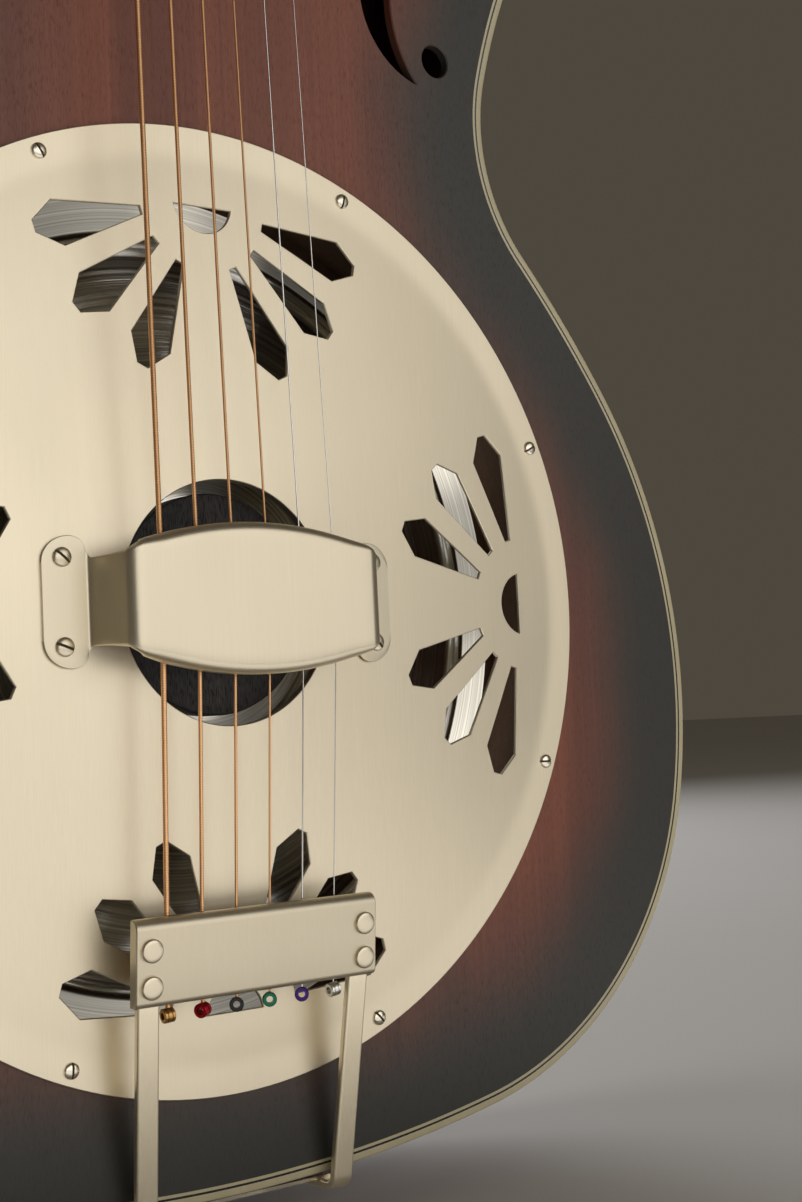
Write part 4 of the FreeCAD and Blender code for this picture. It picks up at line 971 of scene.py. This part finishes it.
def string_path(k):
    r = STRING_D[k] / 2
    px, py = POST_SPOTS[k]
    inward = 1 if px < 0 else -1
    on_post = Vector((px + inward * (POST_R + 0.4 + r), py, WRAP_Z))
    ends = [Vector((string_x(k, END_SPREAD), -102.9, 11.0)), Vector((string_x(k, SADDLE_SPREAD), 0, 18.4)),
            Vector((string_x(k, NUT_SPREAD), 637.5, 1.0)), HEAD @ on_post]
    path = []
    for a, b in zip(ends, ends[1:]):
        count = max(2, round((b - a).length / 12))
        path += [a.lerp(b, n / count) for n in range(count)]
    return path + [ends[-1]]


def build_strings():
    for name, slot, picked, replaced in (("bronze_strings", "bronze_wound", range(4), "wound_strings"),
                                         ("steel_strings", "plain_steel", (4, 5), "plain_strings")):
        bm = bmesh.new()
        for k in picked:
            tube(bm, string_path(k), STRING_D[k] / 2, 14)
        piece(name, bm, slot, (replaced,), sharp=70)

    # the spool at each string's end: its colour's name, half its length, the way its axis
    # points, and its tone
    spools = (("gold", 1.5, (1, 0.1, 0.1), (0.50, 0.30, 0.11)),
              ("red", 1.5, (-0.86, -0.10, 0.50), (0.42, 0.012, 0.025)),
              ("black", 1.1, (-0.54, 0.10, 0.83), (0.03, 0.03, 0.03)),
              ("green", 1.1, (-0.50, 0.00, 0.85), (0.02, 0.13, 0.08)),
              ("purple", 1.1, (-0.58, 0.05, 0.80), (0.07, 0.03, 0.20)),
              ("silver", 1.5, (1, 0.15, 0.0), (0.70, 0.69, 0.66)))
    for k, (name, long, axis, tone) in enumerate(spools):
        place = Vector((string_x(k, END_SPREAD), -104.9, 10.8))
        matrix = Matrix.Translation(place) @ Vector(axis).to_track_quat("Z", "Y").to_matrix().to_4x4()
        profile = [(0.95, -long), (1.7, -long), (1.88, 0.2 - long), (1.88, -0.75), (1.68, -0.6),
                   (1.88, -0.45), (1.88, 0.45), (1.68, 0.6), (1.88, 0.75), (1.88, long - 0.2), (1.7, long),
                   (0.95, long), (0.85, 0.0), (0.95, -long)]
        bm = bmesh.new()
        lathe(bm, profile, 32, matrix)
        replaced = ("string_ball_ends",) if k == 0 else ()
        look = polished_metal("ball_" + name, tone, 0.25)
        piece("ball_end_" + name, bm, "ball_ends", replaced, look=look, sharp=40)


def build_windings():
    # the turns of string round each post, which go round with it
    for k, (px, py) in enumerate(POST_SPOTS):
        r = STRING_D[k] / 2
        round_r = POST_R + r
        inward = 1 if px < 0 else -1
        count = 4 if k < 3 else 5
        steps = 28 * count
        points = []
        for n in range(steps + 1):
            a = 2 * math.pi * count * n / steps
            z = WRAP_Z - (STRING_D[k] + 0.05) * count * n / steps * 0.9
            points.append(HEAD @ Vector((px + inward * round_r * math.cos(a), py + round_r * math.sin(a), z)))
        bm = bmesh.new()
        tube(bm, points, r, 8)
        slot = "bronze_wound" if k < 4 else "plain_steel"
        piece("winding_%d" % (k + 1), bm, slot, body="post_%d" % (k + 1), sharp=70)


# ---- tuner keys ----
BUTTON_HALF = (7.0, 8.5, 3.1)


def islands(bm):
    # the groups of joined vertices in a mesh
    seen, groups = set(), []
    for start in bm.verts:
        if start in seen:
            continue
        group, queue = [], [start]
        seen.add(start)
        while queue:
            vertex = queue.pop()
            group.append(vertex)
            for edge in vertex.link_edges:
                other = edge.other_vert(vertex)
                if other not in seen:
                    seen.add(other)
                    queue.append(other)
        groups.append(group)
    return groups


def smooth_button():
    # a pinched oval with a collar towards the worm, pointing along x
    half_x, half_y, half_z = BUTTON_HALF
    bands = 24
    arc = [(math.sin(math.pi * n / bands), -math.cos(math.pi * n / bands)) for n in range(1, bands)]
    bm = bmesh.new()
    lathe(bm, [(0, -1)] + arc + [(0, 1)], 40)
    for vertex in bm.verts:
        x, y, z = vertex.co
        waist = 1.0 - 0.16 * max(0.0, 1 - abs(x * 1.4))
        x = math.copysign(abs(x) ** 0.75, x)
        y = math.copysign(abs(y) ** 0.8, y) * (0.86 + 0.14 * x)
        vertex.co = Vector((x * half_x, y * half_y, z * half_z * waist))
    collar = [(0, -0.6), (2.1, -0.6), (2.6, 0.0), (2.8, 1.2), (2.2, 2.2), (0, 2.2)]
    lathe(bm, [(r, z - half_x) for r, z in collar], 24, Matrix.Rotation(math.radians(90), 4, "Y"))
    return bm


def build_tuner_keys():
    # each key is its worm shaft, as made in metal, and a smooth button over the end
    # where a button begins, in metres from the middle of the head
    button_from = 0.036
    tilt = Matrix.Rotation(math.radians(-NECK_LEAN - HEAD_LEAN), 4, "X")
    for n, (post_x, _) in enumerate(POST_SPOTS, 1):
        side = math.copysign(1, post_x)
        bm = bmesh.new()
        bm.from_mesh(nodes["tuner_key_%d" % n].data)
        groups = islands(bm)
        tip = 1000 * max(abs(v.co.x) for v in bm.verts)
        button = [v for group in groups if min(abs(v.co.x) for v in group) > button_from for v in group]
        x = side * (tip - BUTTON_HALF[0]) / 1000
        ys, zs = [v.co.y for v in button], [v.co.z for v in button]
        place = Vector((x, (min(ys) + max(ys)) / 2, (min(zs) + max(zs)) / 2))
        bmesh.ops.delete(bm, geom=button, context="VERTS")
        bm.transform(BENCH.inverted())
        piece("worm_shaft_%d" % n, bm, "nickel_polished", body="key_%d" % n, sharp=30)
        bm = smooth_button()
        flip = Matrix.Rotation(math.pi if side < 0 else 0.0, 4, "Z")
        bm.transform(Matrix.Translation(BENCH.inverted() @ place) @ tilt @ flip)
        piece("tuner_button_%d" % n, bm, "button_plastic", ("tuner_key_%d" % n,), "key_%d" % n, sharp=60)


build_body()
build_cover()
build_cone()
build_palm_rest()
build_screws()
build_tail_plate()
build_tail_rivets()
build_straps()
build_strings()
build_windings()
build_tuner_keys()


# ---- floor, light and camera ----
def floor():
    bm = bmesh.new()
    bmesh.ops.create_circle(bm, cap_ends=True, segments=64, radius=14.0)
    mesh = bpy.data.meshes.new("floor")
    bm.to_mesh(mesh)
    made = bpy.data.objects.new("floor", mesh)
    look = Look("floor_paint")
    tone = look.mix(look.noise((1.5, 1.5, 1.5)), (0.62, 0.61, 0.59, 1), (0.66, 0.65, 0.63, 1))
    mesh.materials.append(look.finish(tone, 0.8))
    bpy.context.scene.collection.objects.link(made)


def area_light(name, place, aim, size, power, colour):
    light = bpy.data.lights.new(name, "AREA")
    light.shape = "RECTANGLE"
    light.size, light.size_y = size
    light.energy = power
    light.color = colour
    made = bpy.data.objects.new(name, light)
    made.visible_camera = False
    made.location = place
    made.rotation_euler = (Vector(aim) - Vector(place)).to_track_quat("-Z", "Y").to_euler()
    bpy.context.scene.collection.objects.link(made)


def camera():
    # the camera's place, and its right, down and forward directions
    place = Vector((-0.26853, -0.45103, 0.13771))
    right = Vector((0.78501, -0.61769, -0.04708))
    down = Vector((0.00138, 0.07775, -0.99697))
    forward = Vector((0.61948, 0.78257, 0.06188))
    data = bpy.data.cameras.new("camera")
    data.sensor_fit = "VERTICAL"
    data.sensor_height = 36.0
    data.lens = 55.33
    made = bpy.data.objects.new("camera", data)
    turn = Matrix((right, -down, -forward)).transposed().to_4x4()
    made.matrix_world = Matrix.Translation(place) @ turn
    bpy.context.scene.collection.objects.link(made)
    bpy.context.scene.camera = made


floor()
world = bpy.data.worlds.new("world")
world.use_nodes = True
world.node_tree.nodes["Background"].inputs["Color"].default_value = (0.075, 0.064, 0.048, 1)
bpy.context.scene.world = world
bpy.context.scene.view_settings.view_transform = "Standard"
area_light("key", (0.76, -1.90, 0.66), (0.0, -0.05, 0.22), (1.94, 1.32), 10.8, (1.0, 0.97, 0.93))
area_light("front", (-0.62, -1.75, 0.46), (0.0, -0.05, 0.2), (1.1, 0.9), 4.5, (1.0, 0.97, 0.93))
area_light("low", (0.07, -0.43, 0.004), (0.07, -0.43, 1.0), (0.74, 0.60), 1.1, (1.0, 0.97, 0.93))
area_light("side", (-0.9, 0.5, 2.1), (0.0, 0.0, 0.35), (1.0, 1.0), 5.0, (1.0, 0.98, 0.96))
area_light("back", (0.5, 1.9, 1.2), (0.0, 0.0, 0.4), (1.8, 1.4), 26.0, (0.98, 0.98, 1.0))
camera()
